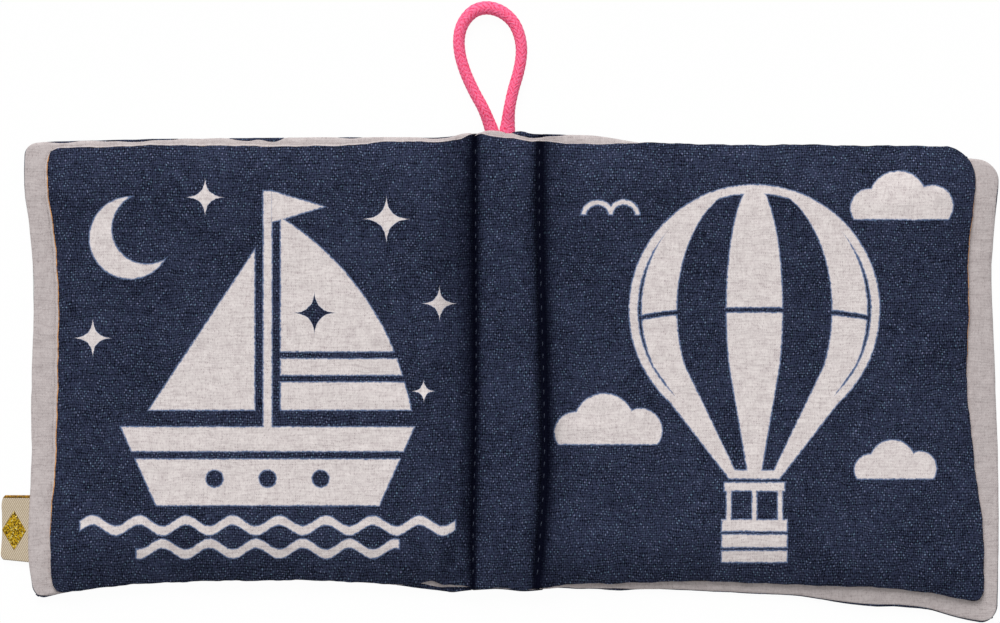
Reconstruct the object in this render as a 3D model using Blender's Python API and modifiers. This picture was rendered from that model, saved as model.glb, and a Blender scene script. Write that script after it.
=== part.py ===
"""A cloth book for a baby, lying open on a table at its middle spread.

The book is two stuffed muslin pads, one on the other: the page pad on top and the cover pad
below. Two stitched seams run down both pads and leave a soft spine between them. Each pad
therefore has a leaf on either side, and each leaf turns about its seam.

The frame is in metres with +Z up. The origin is the middle of the spine's flat underside. X runs
across the spread, and +Y points at the edge that carries the cord loop.
"""

import math
from collections import namedtuple

import bmesh
import bpy
from mathutils import Matrix, Vector

# Spine: the stretch between the two stitched seams
SPINE_WIDTH = 0.022
SPINE_PAGE_TOP = 0.0755
SPINE_COVER_TOP = 0.0778
SPINE_BOTTOM = -0.0748

# Page leaves: reach from the seam, and how far the outer corners lie below the inner ones
PAGE_TOP = 0.0750
PAGE_BOTTOM = -0.0750
LEFT_PAGE_REACH = 0.1425
LEFT_PAGE_TOP_DROP = 0.0022
LEFT_PAGE_BOTTOM_DROP = 0.0016
RIGHT_PAGE_REACH = 0.1465
RIGHT_PAGE_TOP_DROP = 0.0020
RIGHT_PAGE_BOTTOM_DROP = 0.0030

# Cover leaves, which stand out past the pages
COVER_TOP = 0.0772
COVER_BOTTOM = -0.0748
LEFT_COVER_REACH = 0.1498
LEFT_COVER_TOP_DROP = 0.0025
LEFT_COVER_BOTTOM_DROP = 0.0030
RIGHT_COVER_REACH = 0.1530
RIGHT_COVER_TOP_DROP = 0.0090
RIGHT_COVER_BOTTOM_DROP = 0.0117

# Pads: cloth, filling and the way they swell from their seams
CLOTH = 0.0005
CLEAR = 0.0003
PAD_THICKNESS = 0.0049
FLAT_CUT = 0.0005
SPINE_SLACK = 0.0004
EDGE_ROUND = 0.018
ROOT_ROUND = 0.0095
ALLOWANCE = 0.004
TOP_DRAW_IN = 0.0008
BOTTOM_DRAW_IN = 0.0036
SIDE_DRAW_IN = 0.0024
CORNER_RADIUS = 0.006

# Crackle film, a flat sheet inside each cover leaf
FILM = 0.0002
FILM_MARGIN = 0.016

# Lockstitch threads along the seams
THREAD = 0.0004
STITCH_PITCH = 0.0030
STITCH_RISE = 0.0002
SEAM_END_MARGIN = 0.0022

# Cord loop at the head of the spine, whose two ends are pressed thin by the seam they are sewn in
CORD = 0.0040
LEFT_STRAND_X = -0.0053
RIGHT_STRAND_X = 0.0001
TAIL_LENGTH = 0.0085
TAIL = 0.0018

# Ribbon tab, folded in half and caught in the left cover's outer seam
RIBBON_WIDTH = 0.0226
RIBBON_THICKNESS = 0.00035
RIBBON_LENGTH = 0.0092
RIBBON_Y = -0.0553

# Places of the grid lines, as shares of the distance over which the pad swells
EDGE_SHARES = (0.0, 0.08, 0.30, 0.65, 1.0)
ROOT_SHARES = (0.0, 0.30, 0.66, 1.0)
MIDDLE_SHARES = (0.25, 0.50, 0.75)
BAND_SIDES = 12
TAIL_SIDES = 12
FOLD_STEPS = 6

# What follows from the sizes above
AXIS_HEIGHT = PAD_THICKNESS + CLEAR / 2
ROOT_HALF = CLOTH + CLEAR / 2
ROOT_START = 2 * ROOT_HALF + CLEAR / 2 + CLEAR
BAND_HALF_WIDTH = ROOT_START - CLEAR
BAND_HALF_THICKNESS = ROOT_START - 2 * CLEAR - THREAD - STITCH_RISE

COLOURS = {
    "navy_muslin": (0.028, 0.040, 0.085, 0.9, 0.0),
    "cream_muslin": (0.66, 0.60, 0.56, 0.9, 0.0),
    "wadding": (0.85, 0.85, 0.83, 1.0, 0.0),
    "crackle_film": (0.80, 0.82, 0.84, 0.3, 0.0),
    "navy_thread": (0.020, 0.028, 0.060, 0.7, 0.0),
    "pink_cord": (0.85, 0.09, 0.22, 0.8, 0.0),
    "ribbon": (0.72, 0.62, 0.46, 0.6, 0.0),
}

# A pad is one leaf or one stretch of spine. side is -1 at the left, +1 at the right and 0 for the
# spine; layer is +1 above the seams' axes (the page pad) and -1 below them (the cover pad).
Pad = namedtuple("Pad", "side layer reach top bottom top_drop bottom_drop crown")

PAGE_CROWN = PAD_THICKNESS
COVER_CROWN = PAD_THICKNESS + FLAT_CUT

PADS = {
    "left_page": Pad(-1, 1, LEFT_PAGE_REACH, PAGE_TOP, PAGE_BOTTOM,
                     LEFT_PAGE_TOP_DROP, LEFT_PAGE_BOTTOM_DROP, PAGE_CROWN),
    "right_page": Pad(1, 1, RIGHT_PAGE_REACH, PAGE_TOP, PAGE_BOTTOM,
                      RIGHT_PAGE_TOP_DROP, RIGHT_PAGE_BOTTOM_DROP, PAGE_CROWN),
    "left_cover": Pad(-1, -1, LEFT_COVER_REACH, COVER_TOP, COVER_BOTTOM,
                      LEFT_COVER_TOP_DROP, LEFT_COVER_BOTTOM_DROP, COVER_CROWN),
    "right_cover": Pad(1, -1, RIGHT_COVER_REACH, COVER_TOP, COVER_BOTTOM,
                       RIGHT_COVER_TOP_DROP, RIGHT_COVER_BOTTOM_DROP, COVER_CROWN),
    "spine_page": Pad(0, 1, SPINE_WIDTH, SPINE_PAGE_TOP, SPINE_BOTTOM,
                      0, 0, PAGE_CROWN - SPINE_SLACK),
    "spine_cover": Pad(0, -1, SPINE_WIDTH, SPINE_COVER_TOP, SPINE_BOTTOM,
                       0, 0, COVER_CROWN),
}


# The scene

def clear_scene():
    """Removes what is in the scene already."""
    for obj in list(bpy.data.objects):
        bpy.data.objects.remove(obj, do_unlink=True)


def new_collection(name):
    collection = bpy.data.collections.new(name)
    bpy.context.scene.collection.children.link(collection)
    return collection


def material(name):
    """The part's material of this name, made the first time that it is asked for."""
    found = bpy.data.materials.get(name)
    if found:
        return found
    red, green, blue, roughness, metallic = COLOURS[name]
    made = bpy.data.materials.new(name)
    made.use_nodes = True
    shader = made.node_tree.nodes["Principled BSDF"]
    shader.inputs["Base Color"].default_value = (red, green, blue, 1)
    shader.inputs["Roughness"].default_value = roughness
    shader.inputs["Metallic"].default_value = metallic
    return made


def add_object(name, data, slot, collection):
    obj = bpy.data.objects.new(name, data)
    collection.objects.link(obj)
    if slot:
        data.materials.append(material(slot))
    return obj


def add_mesh(name, bm, slot, collection):
    """Turns a bmesh into a named object with faces that point outwards."""
    bmesh.ops.recalc_face_normals(bm, faces=bm.faces[:])
    if bm.calc_volume(signed=True) < 0:
        bmesh.ops.reverse_faces(bm, faces=bm.faces[:])
    mesh = bpy.data.meshes.new(name)
    bm.to_mesh(mesh)
    bm.free()
    return add_object(name, mesh, slot, collection)


def make_cutter(obj):
    """An object that only cuts others: it is drawn as wire and never rendered."""
    obj.hide_render = True
    obj.display_type = "WIRE"
    return obj


def cut(obj, cutter):
    boolean = obj.modifiers.new("cut_" + cutter.name, "BOOLEAN")
    boolean.operation = "DIFFERENCE"
    boolean.solver = "EXACT"
    boolean.object = cutter


# How a pad swells and how it lies

def rounded_swell(distance, length):
    """0 at a seam and 1 at length from it, along a quarter ellipse that starts upright."""
    share = min(max(distance / length, 0), 1)
    return math.sqrt(1 - (1 - share) ** 2)


def sloped_swell(distance, length):
    """0 at a seam and 1 at length from it, along a parabola that starts on a slope."""
    share = min(max(distance / length, 0), 1)
    return 1 - (1 - share) ** 2


def root_round(pad):
    """The distance over which a pad swells from a stitched seam."""
    return min(ROOT_ROUND, SPINE_WIDTH / 2 - ROOT_START) if pad.side == 0 else ROOT_ROUND


def seam_distance(pad, along):
    """Distance from the nearer stitched seam's axis. On the spine both sides have one."""
    return min(along, pad.reach - along) if pad.side == 0 else along


def half_thickness(pad, along):
    """Half of the pad's thickness at this distance along it, where no outer edge is near."""
    swell = sloped_swell(seam_distance(pad, along) - ROOT_START, root_round(pad))
    return ROOT_HALF + (pad.crown / 2 - ROOT_HALF) * swell


def edge_factor(pad, along, edge, inset):
    """How much of its thickness the pad keeps near its outer edges, from 0 to 1."""
    length = EDGE_ROUND - inset
    factor = rounded_swell(edge - inset, length)
    if pad.side:
        factor *= rounded_swell(pad.reach - along - inset, length)
    return factor


def bow(share):
    """0 at both ends of an edge and 1 in its middle."""
    return 4 * share * (1 - share)


def top_edge(pad, share):
    return pad.top - pad.top_drop * share - (TOP_DRAW_IN * bow(share) if pad.side else 0)


def bottom_edge(pad, share):
    return pad.bottom - pad.bottom_drop * share + (BOTTOM_DRAW_IN * bow(share) if pad.side else 0)


def round_corner(pad, along, edge):
    """Moves a point near a leaf's outer corner so that the corner is an arc."""
    outer = CORNER_RADIUS - (pad.reach - along)
    side = CORNER_RADIUS - edge
    if pad.side == 0 or outer <= 0 or side <= 0:
        return along, edge
    limit = 2 * CORNER_RADIUS ** 2
    return (pad.reach - CORNER_RADIUS + outer * math.sqrt(1 - side ** 2 / limit),
            CORNER_RADIUS - side * math.sqrt(1 - outer ** 2 / limit))


def plan_place(pad, along, edge, up):
    """X and Y of a grid point.

    along is its distance from the seam. Its height on the page is the share up of the way between
    two lines that lie the distance edge inside the bottom and the top edges.
    """
    along, edge = round_corner(pad, along, edge)
    share = along / pad.reach
    top, bottom = top_edge(pad, share), bottom_edge(pad, share)
    y = bottom + edge + (top - bottom - 2 * edge) * up
    if pad.side == 0:
        return along - SPINE_WIDTH / 2, y
    drawn = SIDE_DRAW_IN * bow((y - bottom) / (top - bottom)) * share ** 2
    return pad.side * (SPINE_WIDTH / 2 + along - drawn), y


def edge_level(pad):
    """World height of the pad's edge seams."""
    return AXIS_HEIGHT + pad.layer * (CLEAR + pad.crown) / 2


def height(pad, level, floor):
    """World height of a level measured away from the seams' axes, kept above the floor."""
    return max(AXIS_HEIGHT + pad.layer * level, floor)


# The grid that every sheet and filling of a pad is built on

def lines_along(pad, inset):
    """Distances along the pad of its grid lines, from the seam to the outer edge."""
    root = [ROOT_START + share * root_round(pad) for share in ROOT_SHARES]
    if pad.side == 0:
        return root + [pad.reach - d for d in reversed(root[:-1])]
    outer = [pad.reach - inset - share * (EDGE_ROUND - inset) for share in EDGE_SHARES]
    middle = [root[-1] + share * (outer[-1] - root[-1]) for share in MIDDLE_SHARES]
    return root + middle + outer[::-1]


def lines_up(inset):
    """(distance inside the edges, share of the way up) of the grid lines, from bottom to top."""
    low = [inset + share * (EDGE_ROUND - inset) for share in EDGE_SHARES]
    middle = [(EDGE_ROUND, share) for share in MIDDLE_SHARES]
    return [(edge, 0) for edge in low] + middle + [(edge, 1) for edge in reversed(low)]


def lattice_block(columns, rows):
    """A block of one layer of cells, whose vertices have whole-number coordinates."""
    bm = bmesh.new()
    spread = Matrix.Diagonal((columns, rows, 1, 1)) @ Matrix.Translation((0.5, 0.5, 0))
    bmesh.ops.create_grid(bm, x_segments=columns, y_segments=rows, size=0.5, matrix=spread)
    raised = bmesh.ops.extrude_face_region(bm, geom=bm.faces[:], use_keep_orig=True)
    for part in raised["geom"]:
        if isinstance(part, bmesh.types.BMVert):
            part.co.z = 1
    return bm


def layered_solid(name, pad, low_surface, high_surface, slot, collection):
    """A closed solid between two surfaces, each (lines along, lines up, height function)."""
    surfaces = (low_surface, high_surface)
    columns = len(low_surface[0]) - 1
    rows = len(low_surface[1]) - 1
    bm = lattice_block(columns, rows)
    for vertex in bm.verts:
        along_lines, up_lines, level = surfaces[round(vertex.co.z)]
        along = along_lines[round(vertex.co.x)]
        edge, up = up_lines[round(vertex.co.y)]
        vertex.co = Vector((*plan_place(pad, along, edge, up), level(along, edge)))
    return add_mesh(name, bm, slot, collection)


# The pieces of a pad

def cloth_surfaces(pad, sign):
    """The outer and inner surfaces of a pad's cloth: sign +1 is the far one, -1 the near one.

    Near and far are measured from the plane that holds the seams' axes.
    """
    def outer(along, edge):
        half = half_thickness(pad, along)
        rise = (half - CLEAR / 2) * edge_factor(pad, along, edge, 0)
        return height(pad, CLEAR / 2 + half + sign * (CLEAR / 2 + rise), 0)

    def inner(along, edge):
        half = half_thickness(pad, along)
        rise = (half - ROOT_HALF) * edge_factor(pad, along, edge, ALLOWANCE)
        return height(pad, CLEAR / 2 + half + sign * (CLEAR / 2 + rise), CLOTH)

    return ((lines_along(pad, 0), lines_up(0), outer),
            (lines_along(pad, ALLOWANCE), lines_up(ALLOWANCE), inner))


def cloth(name, pad, sign, slot, collection):
    outer, inner = cloth_surfaces(pad, sign)
    return layered_solid(name, pad, outer, inner, slot, collection)


def wadding(name, pad, head_margin, film_room, collection):
    """The filling: one grid line inside the cloth's inner surfaces, and a gap away from them.

    At the head its lines are pushed together, so that it ends beyond head_margin.
    """
    squeeze = (EDGE_ROUND - head_margin) / (EDGE_ROUND - ALLOWANCE)

    def surface(sign):
        along_lines, up_lines, inner = cloth_surfaces(pad, sign)[1]
        along_lines = along_lines[1:-1]
        up_lines = [(EDGE_ROUND - (EDGE_ROUND - edge) * squeeze if up == 1 else edge, up)
                    for edge, up in up_lines[1:-1]]

        def level(along, edge):
            world = inner(along, edge) - sign * pad.layer * CLEAR
            return max(world, CLOTH + CLEAR + film_room)

        return along_lines, up_lines, level

    return layered_solid(name, pad, surface(1), surface(-1), "wadding", collection)


def crackle_film(name, pad, collection):
    """A thin flat sheet that lies on the cover cloth, under the wadding."""
    along_lines = [ROOT_START + FILM_MARGIN, pad.reach - FILM_MARGIN]
    up_lines = [(FILM_MARGIN, 0), (FILM_MARGIN, 1)]

    def low(along, edge):
        return CLOTH + CLEAR

    def high(along, edge):
        return CLOTH + CLEAR + FILM

    return layered_solid(name, pad, (along_lines, up_lines, low),
                         (along_lines, up_lines, high), "crackle_film", collection)


# The two seams

def hinge_band(name, side, collection):
    """The strip of cloth that the stitches pinch flat, on the axis that the leaves turn about."""
    low = SPINE_BOTTOM + SEAM_END_MARGIN
    high = SPINE_PAGE_TOP - SEAM_END_MARGIN
    bm = bmesh.new()
    place = (Matrix.Translation((side * SPINE_WIDTH / 2, (low + high) / 2, AXIS_HEIGHT))
             @ Matrix.Diagonal((BAND_HALF_WIDTH, high - low, BAND_HALF_THICKNESS, 1))
             @ Matrix.Rotation(math.pi / 2, 4, "X"))
    bmesh.ops.create_cone(bm, cap_ends=True, segments=BAND_SIDES,
                          radius1=1, radius2=1, depth=1, matrix=place)
    return add_mesh(name, bm, "navy_muslin", collection)


def seam_thread(name, side, layer, collection):
    """A lockstitch thread that lies along one face of the pinched band and dips at each hole."""
    low = SPINE_BOTTOM + SEAM_END_MARGIN
    high = SPINE_PAGE_TOP - SEAM_END_MARGIN
    count = int((high - low) / STITCH_PITCH)
    first = (low + high - count * STITCH_PITCH) / 2
    dip = BAND_HALF_THICKNESS + CLEAR + THREAD / 2
    places = []
    for number in range(count):
        hole = first + number * STITCH_PITCH
        places += [(hole, dip), (hole + STITCH_PITCH / 2, dip + STITCH_RISE)]
    places.append((first + count * STITCH_PITCH, dip))
    route = [Vector((side * SPINE_WIDTH / 2, y, AXIS_HEIGHT + layer * lift)) for y, lift in places]
    return tube(name, route, [1] * len(route), THREAD, 0, "navy_thread", collection)


# The cord loop

def strand_exit(x):
    """Where a strand leaves the head of the spine."""
    return Vector((x, SPINE_COVER_TOP + CLEAR, edge_level(PADS["spine_cover"])))


def loop_route():
    """The loop's route, chosen by hand from where one strand leaves the spine to the other."""
    lie = CORD / 2
    between = [
        (-0.0072, 0.0824, lie), (-0.0095, 0.0877, lie), (-0.0130, 0.0945, lie),
        (-0.0152, 0.1013, lie), (-0.0163, 0.1073, lie), (-0.0157, 0.1117, lie),
        (-0.0140, 0.1153, lie), (-0.0107, 0.1183, lie), (-0.0065, 0.1193, lie),
        (-0.0023, 0.1183, lie), (0.0013, 0.1157, lie), (0.0037, 0.1117, lie),
        (0.0045, 0.1067, lie), (0.0042, 0.1013, lie), (0.0027, 0.0943, lie),
        (0.0009, 0.0877, lie), (0.0001, 0.0820, lie),
    ]
    return [strand_exit(LEFT_STRAND_X), *map(Vector, between), strand_exit(RIGHT_STRAND_X)]


def tube(name, route, widths, thickness, roundness, slot, collection):
    """A round strand along a route, with its width at each point as a share of its thickness."""
    curve = bpy.data.curves.new(name, "CURVE")
    curve.dimensions = "3D"
    curve.bevel_depth = thickness / 2
    curve.bevel_resolution = roundness
    curve.use_fill_caps = True
    spline = curve.splines.new("POLY")
    spline.points.add(len(route) - 1)
    for point, place, width in zip(spline.points, route, widths):
        point.co = (*place, 1)
        point.radius = width
    return add_object(name, curve, slot, collection)


def smooth_through(points, steps):
    """Points of a Catmull-Rom curve through these points, with this many steps for each span."""
    ends = [2 * points[0] - points[1], *points, 2 * points[-1] - points[-2]]
    made = []
    for before, start, end, after in zip(ends, ends[1:], ends[2:], ends[3:]):
        for step in range(steps):
            t = step / steps
            made.append(0.5 * (2 * start + (end - before) * t
                               + (2 * before - 5 * start + 4 * end - after) * t ** 2
                               + (3 * start - before - 3 * end + after) * t ** 3))
    return made + [points[-1]]


def cord_loop(name, collection):
    """The loop, from the end of one sewn-in tail to the end of the other."""
    loop = smooth_through(loop_route(), 2)
    tail_ends = [strand_exit(x) - Vector((0, TAIL_LENGTH, 0))
                 for x in (LEFT_STRAND_X, RIGHT_STRAND_X)]
    route = [tail_ends[0], *loop, tail_ends[1]]
    tail = TAIL / CORD
    widths = [tail, tail] + [1] * (len(loop) - 2) + [tail, tail]
    return tube(name, route, widths, CORD, 2, "pink_cord", collection)


def tail_room(name, collection):
    """The two round openings that the cord's ends pass through in the spine's head seam."""
    bm = bmesh.new()
    inner = SPINE_COVER_TOP - TAIL_LENGTH - CLEAR
    outer = SPINE_COVER_TOP + 2 * CLEAR
    for x in (LEFT_STRAND_X, RIGHT_STRAND_X):
        place = (Matrix.Translation((x, (inner + outer) / 2, edge_level(PADS["spine_cover"])))
                 @ Matrix.Rotation(math.pi / 2, 4, "X"))
        bmesh.ops.create_cone(bm, cap_ends=True, segments=TAIL_SIDES, radius1=TAIL / 2 + CLEAR,
                              radius2=TAIL / 2 + CLEAR, depth=outer - inner, matrix=place)
    return add_mesh(name, bm, None, collection)


# The ribbon tab

def ribbon_edge_x():
    """X of the left cover's outer edge beside the ribbon."""
    pad = PADS["left_cover"]
    share = (RIBBON_Y - bottom_edge(pad, 1)) / (top_edge(pad, 1) - bottom_edge(pad, 1))
    return -(SPINE_WIDTH / 2 + pad.reach - SIDE_DRAW_IN * bow(share))


def ribbon_tab(name, collection):
    """A strip folded back on itself: two flat layers and a small round fold."""
    radius = (CLEAR + RIBBON_THICKNESS) / 2
    inner = ribbon_edge_x() + ALLOWANCE
    fold = ribbon_edge_x() - RIBBON_LENGTH + radius
    profile = [(inner, radius)]
    for step in range(FOLD_STEPS + 1):
        angle = math.pi / 2 + math.pi * step / FOLD_STEPS
        profile.append((fold + radius * math.cos(angle), radius * math.sin(angle)))
    profile.append((inner, -radius))
    level = edge_level(PADS["left_cover"])
    bm = bmesh.new()
    low = RIBBON_Y - RIBBON_WIDTH / 2
    row = [bm.verts.new((x, low, level + z)) for x, z in profile]
    edges = [bm.edges.new(pair) for pair in zip(row, row[1:])]
    swept = bmesh.ops.extrude_edge_only(bm, edges=edges)
    moved = [v for v in swept["geom"] if isinstance(v, bmesh.types.BMVert)]
    bmesh.ops.translate(bm, verts=moved, vec=(0, RIBBON_WIDTH, 0))
    tab = add_mesh(name, bm, "ribbon", collection)
    solid = tab.modifiers.new("thickness", "SOLIDIFY")
    solid.thickness = RIBBON_THICKNESS
    solid.offset = 0
    return tab


def ribbon_slot(name, collection):
    """The opening that the ribbon passes through in the left cover's outer seam."""
    length = RIBBON_LENGTH + ALLOWANCE + 2 * CLEAR
    middle = ribbon_edge_x() + (ALLOWANCE - RIBBON_LENGTH) / 2
    size = (length, RIBBON_WIDTH + 2 * CLEAR, 2 * RIBBON_THICKNESS + 3 * CLEAR)
    level = edge_level(PADS["left_cover"])
    bm = bmesh.new()
    place = Matrix.Translation((middle, RIBBON_Y, level)) @ Matrix.Diagonal((*size, 1))
    bmesh.ops.create_cube(bm, size=1, matrix=place)
    return add_mesh(name, bm, None, collection)


# The whole book

def build_page(side_name, collection):
    pad = PADS[side_name + "_page"]
    cloth(side_name + "_page_face", pad, 1, "navy_muslin", collection)
    cloth(side_name + "_page_back", pad, -1, "cream_muslin", collection)
    wadding(side_name + "_page_wadding", pad, ALLOWANCE, 0, collection)


def build_cover(side_name, collection):
    pad = PADS[side_name + "_cover"]
    lining = cloth(side_name + "_cover_lining", pad, -1, "cream_muslin", collection)
    outside = cloth(side_name + "_cover_outside", pad, 1, "navy_muslin", collection)
    wadding(side_name + "_cover_wadding", pad, ALLOWANCE, FILM + CLEAR, collection)
    crackle_film(side_name + "_cover_crackle_film", pad, collection)
    return lining, outside


def build_spine(collection, cutters):
    page, cover = PADS["spine_page"], PADS["spine_cover"]
    cloth("spine_page_face", page, 1, "navy_muslin", collection)
    cloth("spine_page_back", page, -1, "cream_muslin", collection)
    wadding("spine_page_wadding", page, ALLOWANCE, 0, collection)
    lining = cloth("spine_cover_lining", cover, -1, "cream_muslin", collection)
    outside = cloth("spine_cover_outside", cover, 1, "navy_muslin", collection)
    wadding("spine_cover_wadding", cover, TAIL_LENGTH + CLEAR, 0, collection)
    openings = make_cutter(tail_room("tail_room", cutters))
    cut(lining, openings)
    cut(outside, openings)
    cord_loop("cord_loop", collection)
    for side, side_name in ((-1, "left"), (1, "right")):
        hinge_band(side_name + "_hinge_band", side, collection)
        seam_thread(side_name + "_seam_upper_thread", side, 1, collection)
        seam_thread(side_name + "_seam_lower_thread", side, -1, collection)


def build_book():
    clear_scene()
    book = new_collection("cloth_book")
    cutters = new_collection("cutters")
    build_spine(book, cutters)
    for side_name in ("left", "right"):
        build_page(side_name, book)
    left_cloths = build_cover("left", book)
    build_cover("right", book)
    ribbon_tab("ribbon_tab", book)
    slot = make_cutter(ribbon_slot("ribbon_slot", cutters))
    for piece in left_cloths:
        cut(piece, slot)


build_book()
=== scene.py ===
"""The looks of the cloth book: its muslin, prints, stitches, cord and ribbon.

All the lengths are in metres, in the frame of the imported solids: X runs across the open spread, Y
up the spine to the cord loop and Z up from the table. Outlines are read off the photograph as
pixels and turned into metres by at_pixel. Prints and weaves are in millimetres.
"""

import math
from collections import namedtuple
from functools import reduce

import bpy
import numpy as np
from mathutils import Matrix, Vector, noise


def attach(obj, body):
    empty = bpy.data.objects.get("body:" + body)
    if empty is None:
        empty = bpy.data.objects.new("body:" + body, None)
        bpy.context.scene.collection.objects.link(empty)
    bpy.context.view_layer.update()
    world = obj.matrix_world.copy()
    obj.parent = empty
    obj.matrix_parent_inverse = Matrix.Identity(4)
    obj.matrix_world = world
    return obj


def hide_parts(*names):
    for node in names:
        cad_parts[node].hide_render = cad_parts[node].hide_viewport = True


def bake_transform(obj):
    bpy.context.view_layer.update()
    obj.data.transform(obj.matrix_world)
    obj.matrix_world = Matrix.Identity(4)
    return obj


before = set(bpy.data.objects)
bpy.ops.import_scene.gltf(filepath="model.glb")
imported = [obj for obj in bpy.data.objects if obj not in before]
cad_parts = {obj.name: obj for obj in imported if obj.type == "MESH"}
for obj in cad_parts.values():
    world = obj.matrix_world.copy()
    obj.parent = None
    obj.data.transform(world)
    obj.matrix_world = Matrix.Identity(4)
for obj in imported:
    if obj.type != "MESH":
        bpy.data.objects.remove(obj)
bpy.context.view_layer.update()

MILLIMETRES = 1000

# The photograph's scale, and the pixel that is the origin
PIXEL = 0.001 / 3
ORIGIN_PIXEL = (507.0, 362.0)
PHOTO_CENTRE_PIXEL = (500.0, 311.5)
PHOTO_WIDTH = 1000 * PIXEL

# Heights and thicknesses of the pads, as in the solids
AXIS_HEIGHT = 0.00505
PAGE_CROWN = 0.0049
SPINE_CROWN = 0.0046
COVER_CROWN = 0.00505
FLOOR_GAP = 0.00002

# Cloth
CLOTH = 0.00025
SEAM_HALF = 0.0005
NEAR_LEVEL = 0.00008
PAGE_RIM = 0.00062
COVER_RIM = 0.00105
COVER_DROOP = 0.0011
EDGE_ROUND = 0.018
ROOT_ROUND = 0.0105
# How much of the pages' sewn bumps the covers' edges have
COVER_BUMPS = 0.25
# Beside the seams, as (at the left seam, at the right seam): the flat channel's width, and how
# steeply a pad's upper face climbs out of it. The lower faces climb gently, which leaves the covers
# room to swing down.
CHANNELS = (0.0004, 0.0008)
SPINE_COVER_CHANNELS = (0.0010, 0.0018)
PAGE_STEEPNESS = (3.2, 4.2)
SPINE_STEEPNESS = (4.0, 5.5)
COVER_STEEPNESS = 1.35
# How far the painted seam shade reaches out of the seams, darkening the cloth's colour where the
# grooves' shade falls, and how sharply it ends
RIGHT_PAGE_SHADE = 0.0029
PAGE_SHADE_ENDS = (1.5, 2.0)
SPINE_SHADES = (0.00125, 0.0016)
SPINE_SHADE_END = 1.5
SHADE_DEPTH = 0.97
# It starts at this share of the channel's width
SHADE_START_SHARE = 0.6
# Painted shade in a band beside each seam, standing in for the shade of a soft hollow that the
# shape doesn't have: its distance from the seam, half width and depth
LEFT_HOLLOW_SHADE = (0.0080, 0.0045)
RIGHT_HOLLOW_SHADE = (0.0055, 0.0035)
RIGHT_HOLLOW_SHADE_DEPTH = 0.08
# The fold at the left page's foot: its half width, its depth in the shape, and the depth of the
# shade painted along it
FOOT_FOLD_HALF_WIDTH = 0.0015
FOOT_FOLD_DEPTH = 0.0004
FOOT_FOLD_SHADE = 0.30
# The covers start at least this far from the spine's middle and from the seams, which leaves them
# room to swing about their axis
COVER_ROOT = 0.0119
COVER_SET_BACK = 0.0007
SPINE_COVER_END = 0.01188

# The lines of a cloth's grid: their distances from an edge and from a stitched seam, and the even
# steps that follow
NEAR_EDGE = [0, 0.00022, 0.00045, 0.0007, 0.001, 0.0014, 0.0019, 0.0026, 0.0035, 0.0046]
NEAR_ROOT = [0, 0.0003, 0.0006, 0.00085, 0.0011, 0.0014, 0.0017, 0.0021, 0.0026, 0.0032]
SPINE_ROOT_REACH = 0.010
GRID_STEP = 0.0013
PAD_LENGTH = 0.145
SPINE_LENGTH = 0.022
PAD_HEIGHT = 0.150
# The outline is found step by step, from this far left or right of the middle
OUTLINE_START = 0.08
OUTLINE_STEPS = 5

# Settling of the cloths over their padding, on a coarser grid
SIM_NEAR_EDGE = [0, 0.0009, 0.0024]
SIM_NEAR_ROOT = [0, 0.0011, 0.0026]
SIM_STEP = 0.0022
SIM_FRAMES = 20
SIM_SETTINGS = {
    "quality": 5, "mass": 0.12, "tension_stiffness": 12, "compression_stiffness": 12,
    "shear_stiffness": 3, "bending_stiffness": 0.04, "tension_damping": 12,
    "compression_damping": 12, "vertex_group_mass": "held", "use_pressure": True,
    "uniform_pressure_force": 4.0, "shrink_min": -0.015}
# The small bumps that it starts from, how many there are in a metre and how unlike the cloths are
SIM_UNEVEN = 0.0003
SIM_UNEVEN_PER_METRE = 160
SIM_SEED_STEP = 7.3
SIM_MOST = 0.0005
SIM_SHARE = 0.8
# A cloth that faces another pad moves only away from it, by this share
SIM_INNER_SHARE = 0.6
BULGE_PASSES = 24
# The edges and the roots of a cloth are held this far in
EDGE_HOLD = 0.002
ROOT_HOLD_START = 0.001
ROOT_HOLD = 0.004

# Distances from the spine's middle, for the page cloths
BLEND_START = 0.0118
BLEND_END = 0.0102

# Stitches
STITCH_PITCH = 0.0040
STITCH_LENGTH = 0.0015
THREAD = 0.00030
PUCKER_DEPTH = 0.00014
PUCKER_REACH = 0.0014

# The lit threads along a page's edge show less at its head and foot
HEAD_FRINGE = 0.1
FRINGE_REACH = 0.004
FRINGE_LOSS_MM = 0.6


def at_pixel(x, y):
    """World X and Y of a pixel of the photograph."""
    return (x - ORIGIN_PIXEL[0]) * PIXEL, (ORIGIN_PIXEL[1] - y) * PIXEL


# Outlines

def smooth_line(points):
    """A smooth function through (place, value) points, for arrays of places."""
    places, values = np.array(sorted(points), float).T
    slopes = np.gradient(values, places)

    def value_at(place):
        place = np.clip(place, places[0], places[-1])
        start = np.clip(np.searchsorted(places, place) - 1, 0, len(places) - 2)
        span = places[start + 1] - places[start]
        t = (place - places[start]) / span
        return (values[start] * (1 + 2 * t) * (1 - t) ** 2
                + slopes[start] * span * t * (1 - t) ** 2
                + values[start + 1] * t ** 2 * (3 - 2 * t)
                + slopes[start + 1] * span * t ** 2 * (t - 1))

    return value_at


def edge_across(pixels):
    """An edge that runs across the page: Y as a function of X, from its pixels."""
    return smooth_line([at_pixel(*pixel) for pixel in pixels])


def edge_up(pixels):
    """An edge that runs up the page: X as a function of Y, from its pixels."""
    return smooth_line([at_pixel(*pixel)[::-1] for pixel in pixels])


def values_across(points, scale=1.0):
    """A value as a function of X, from (x pixel, value) points."""
    return smooth_line([(at_pixel(x, 0)[0], value * scale) for x, value in points])


def values_up(points, scale=1.0):
    """A value as a function of Y, from (y pixel, value) points."""
    return smooth_line([(at_pixel(0, y)[1], value * scale) for y, value in points])


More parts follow.
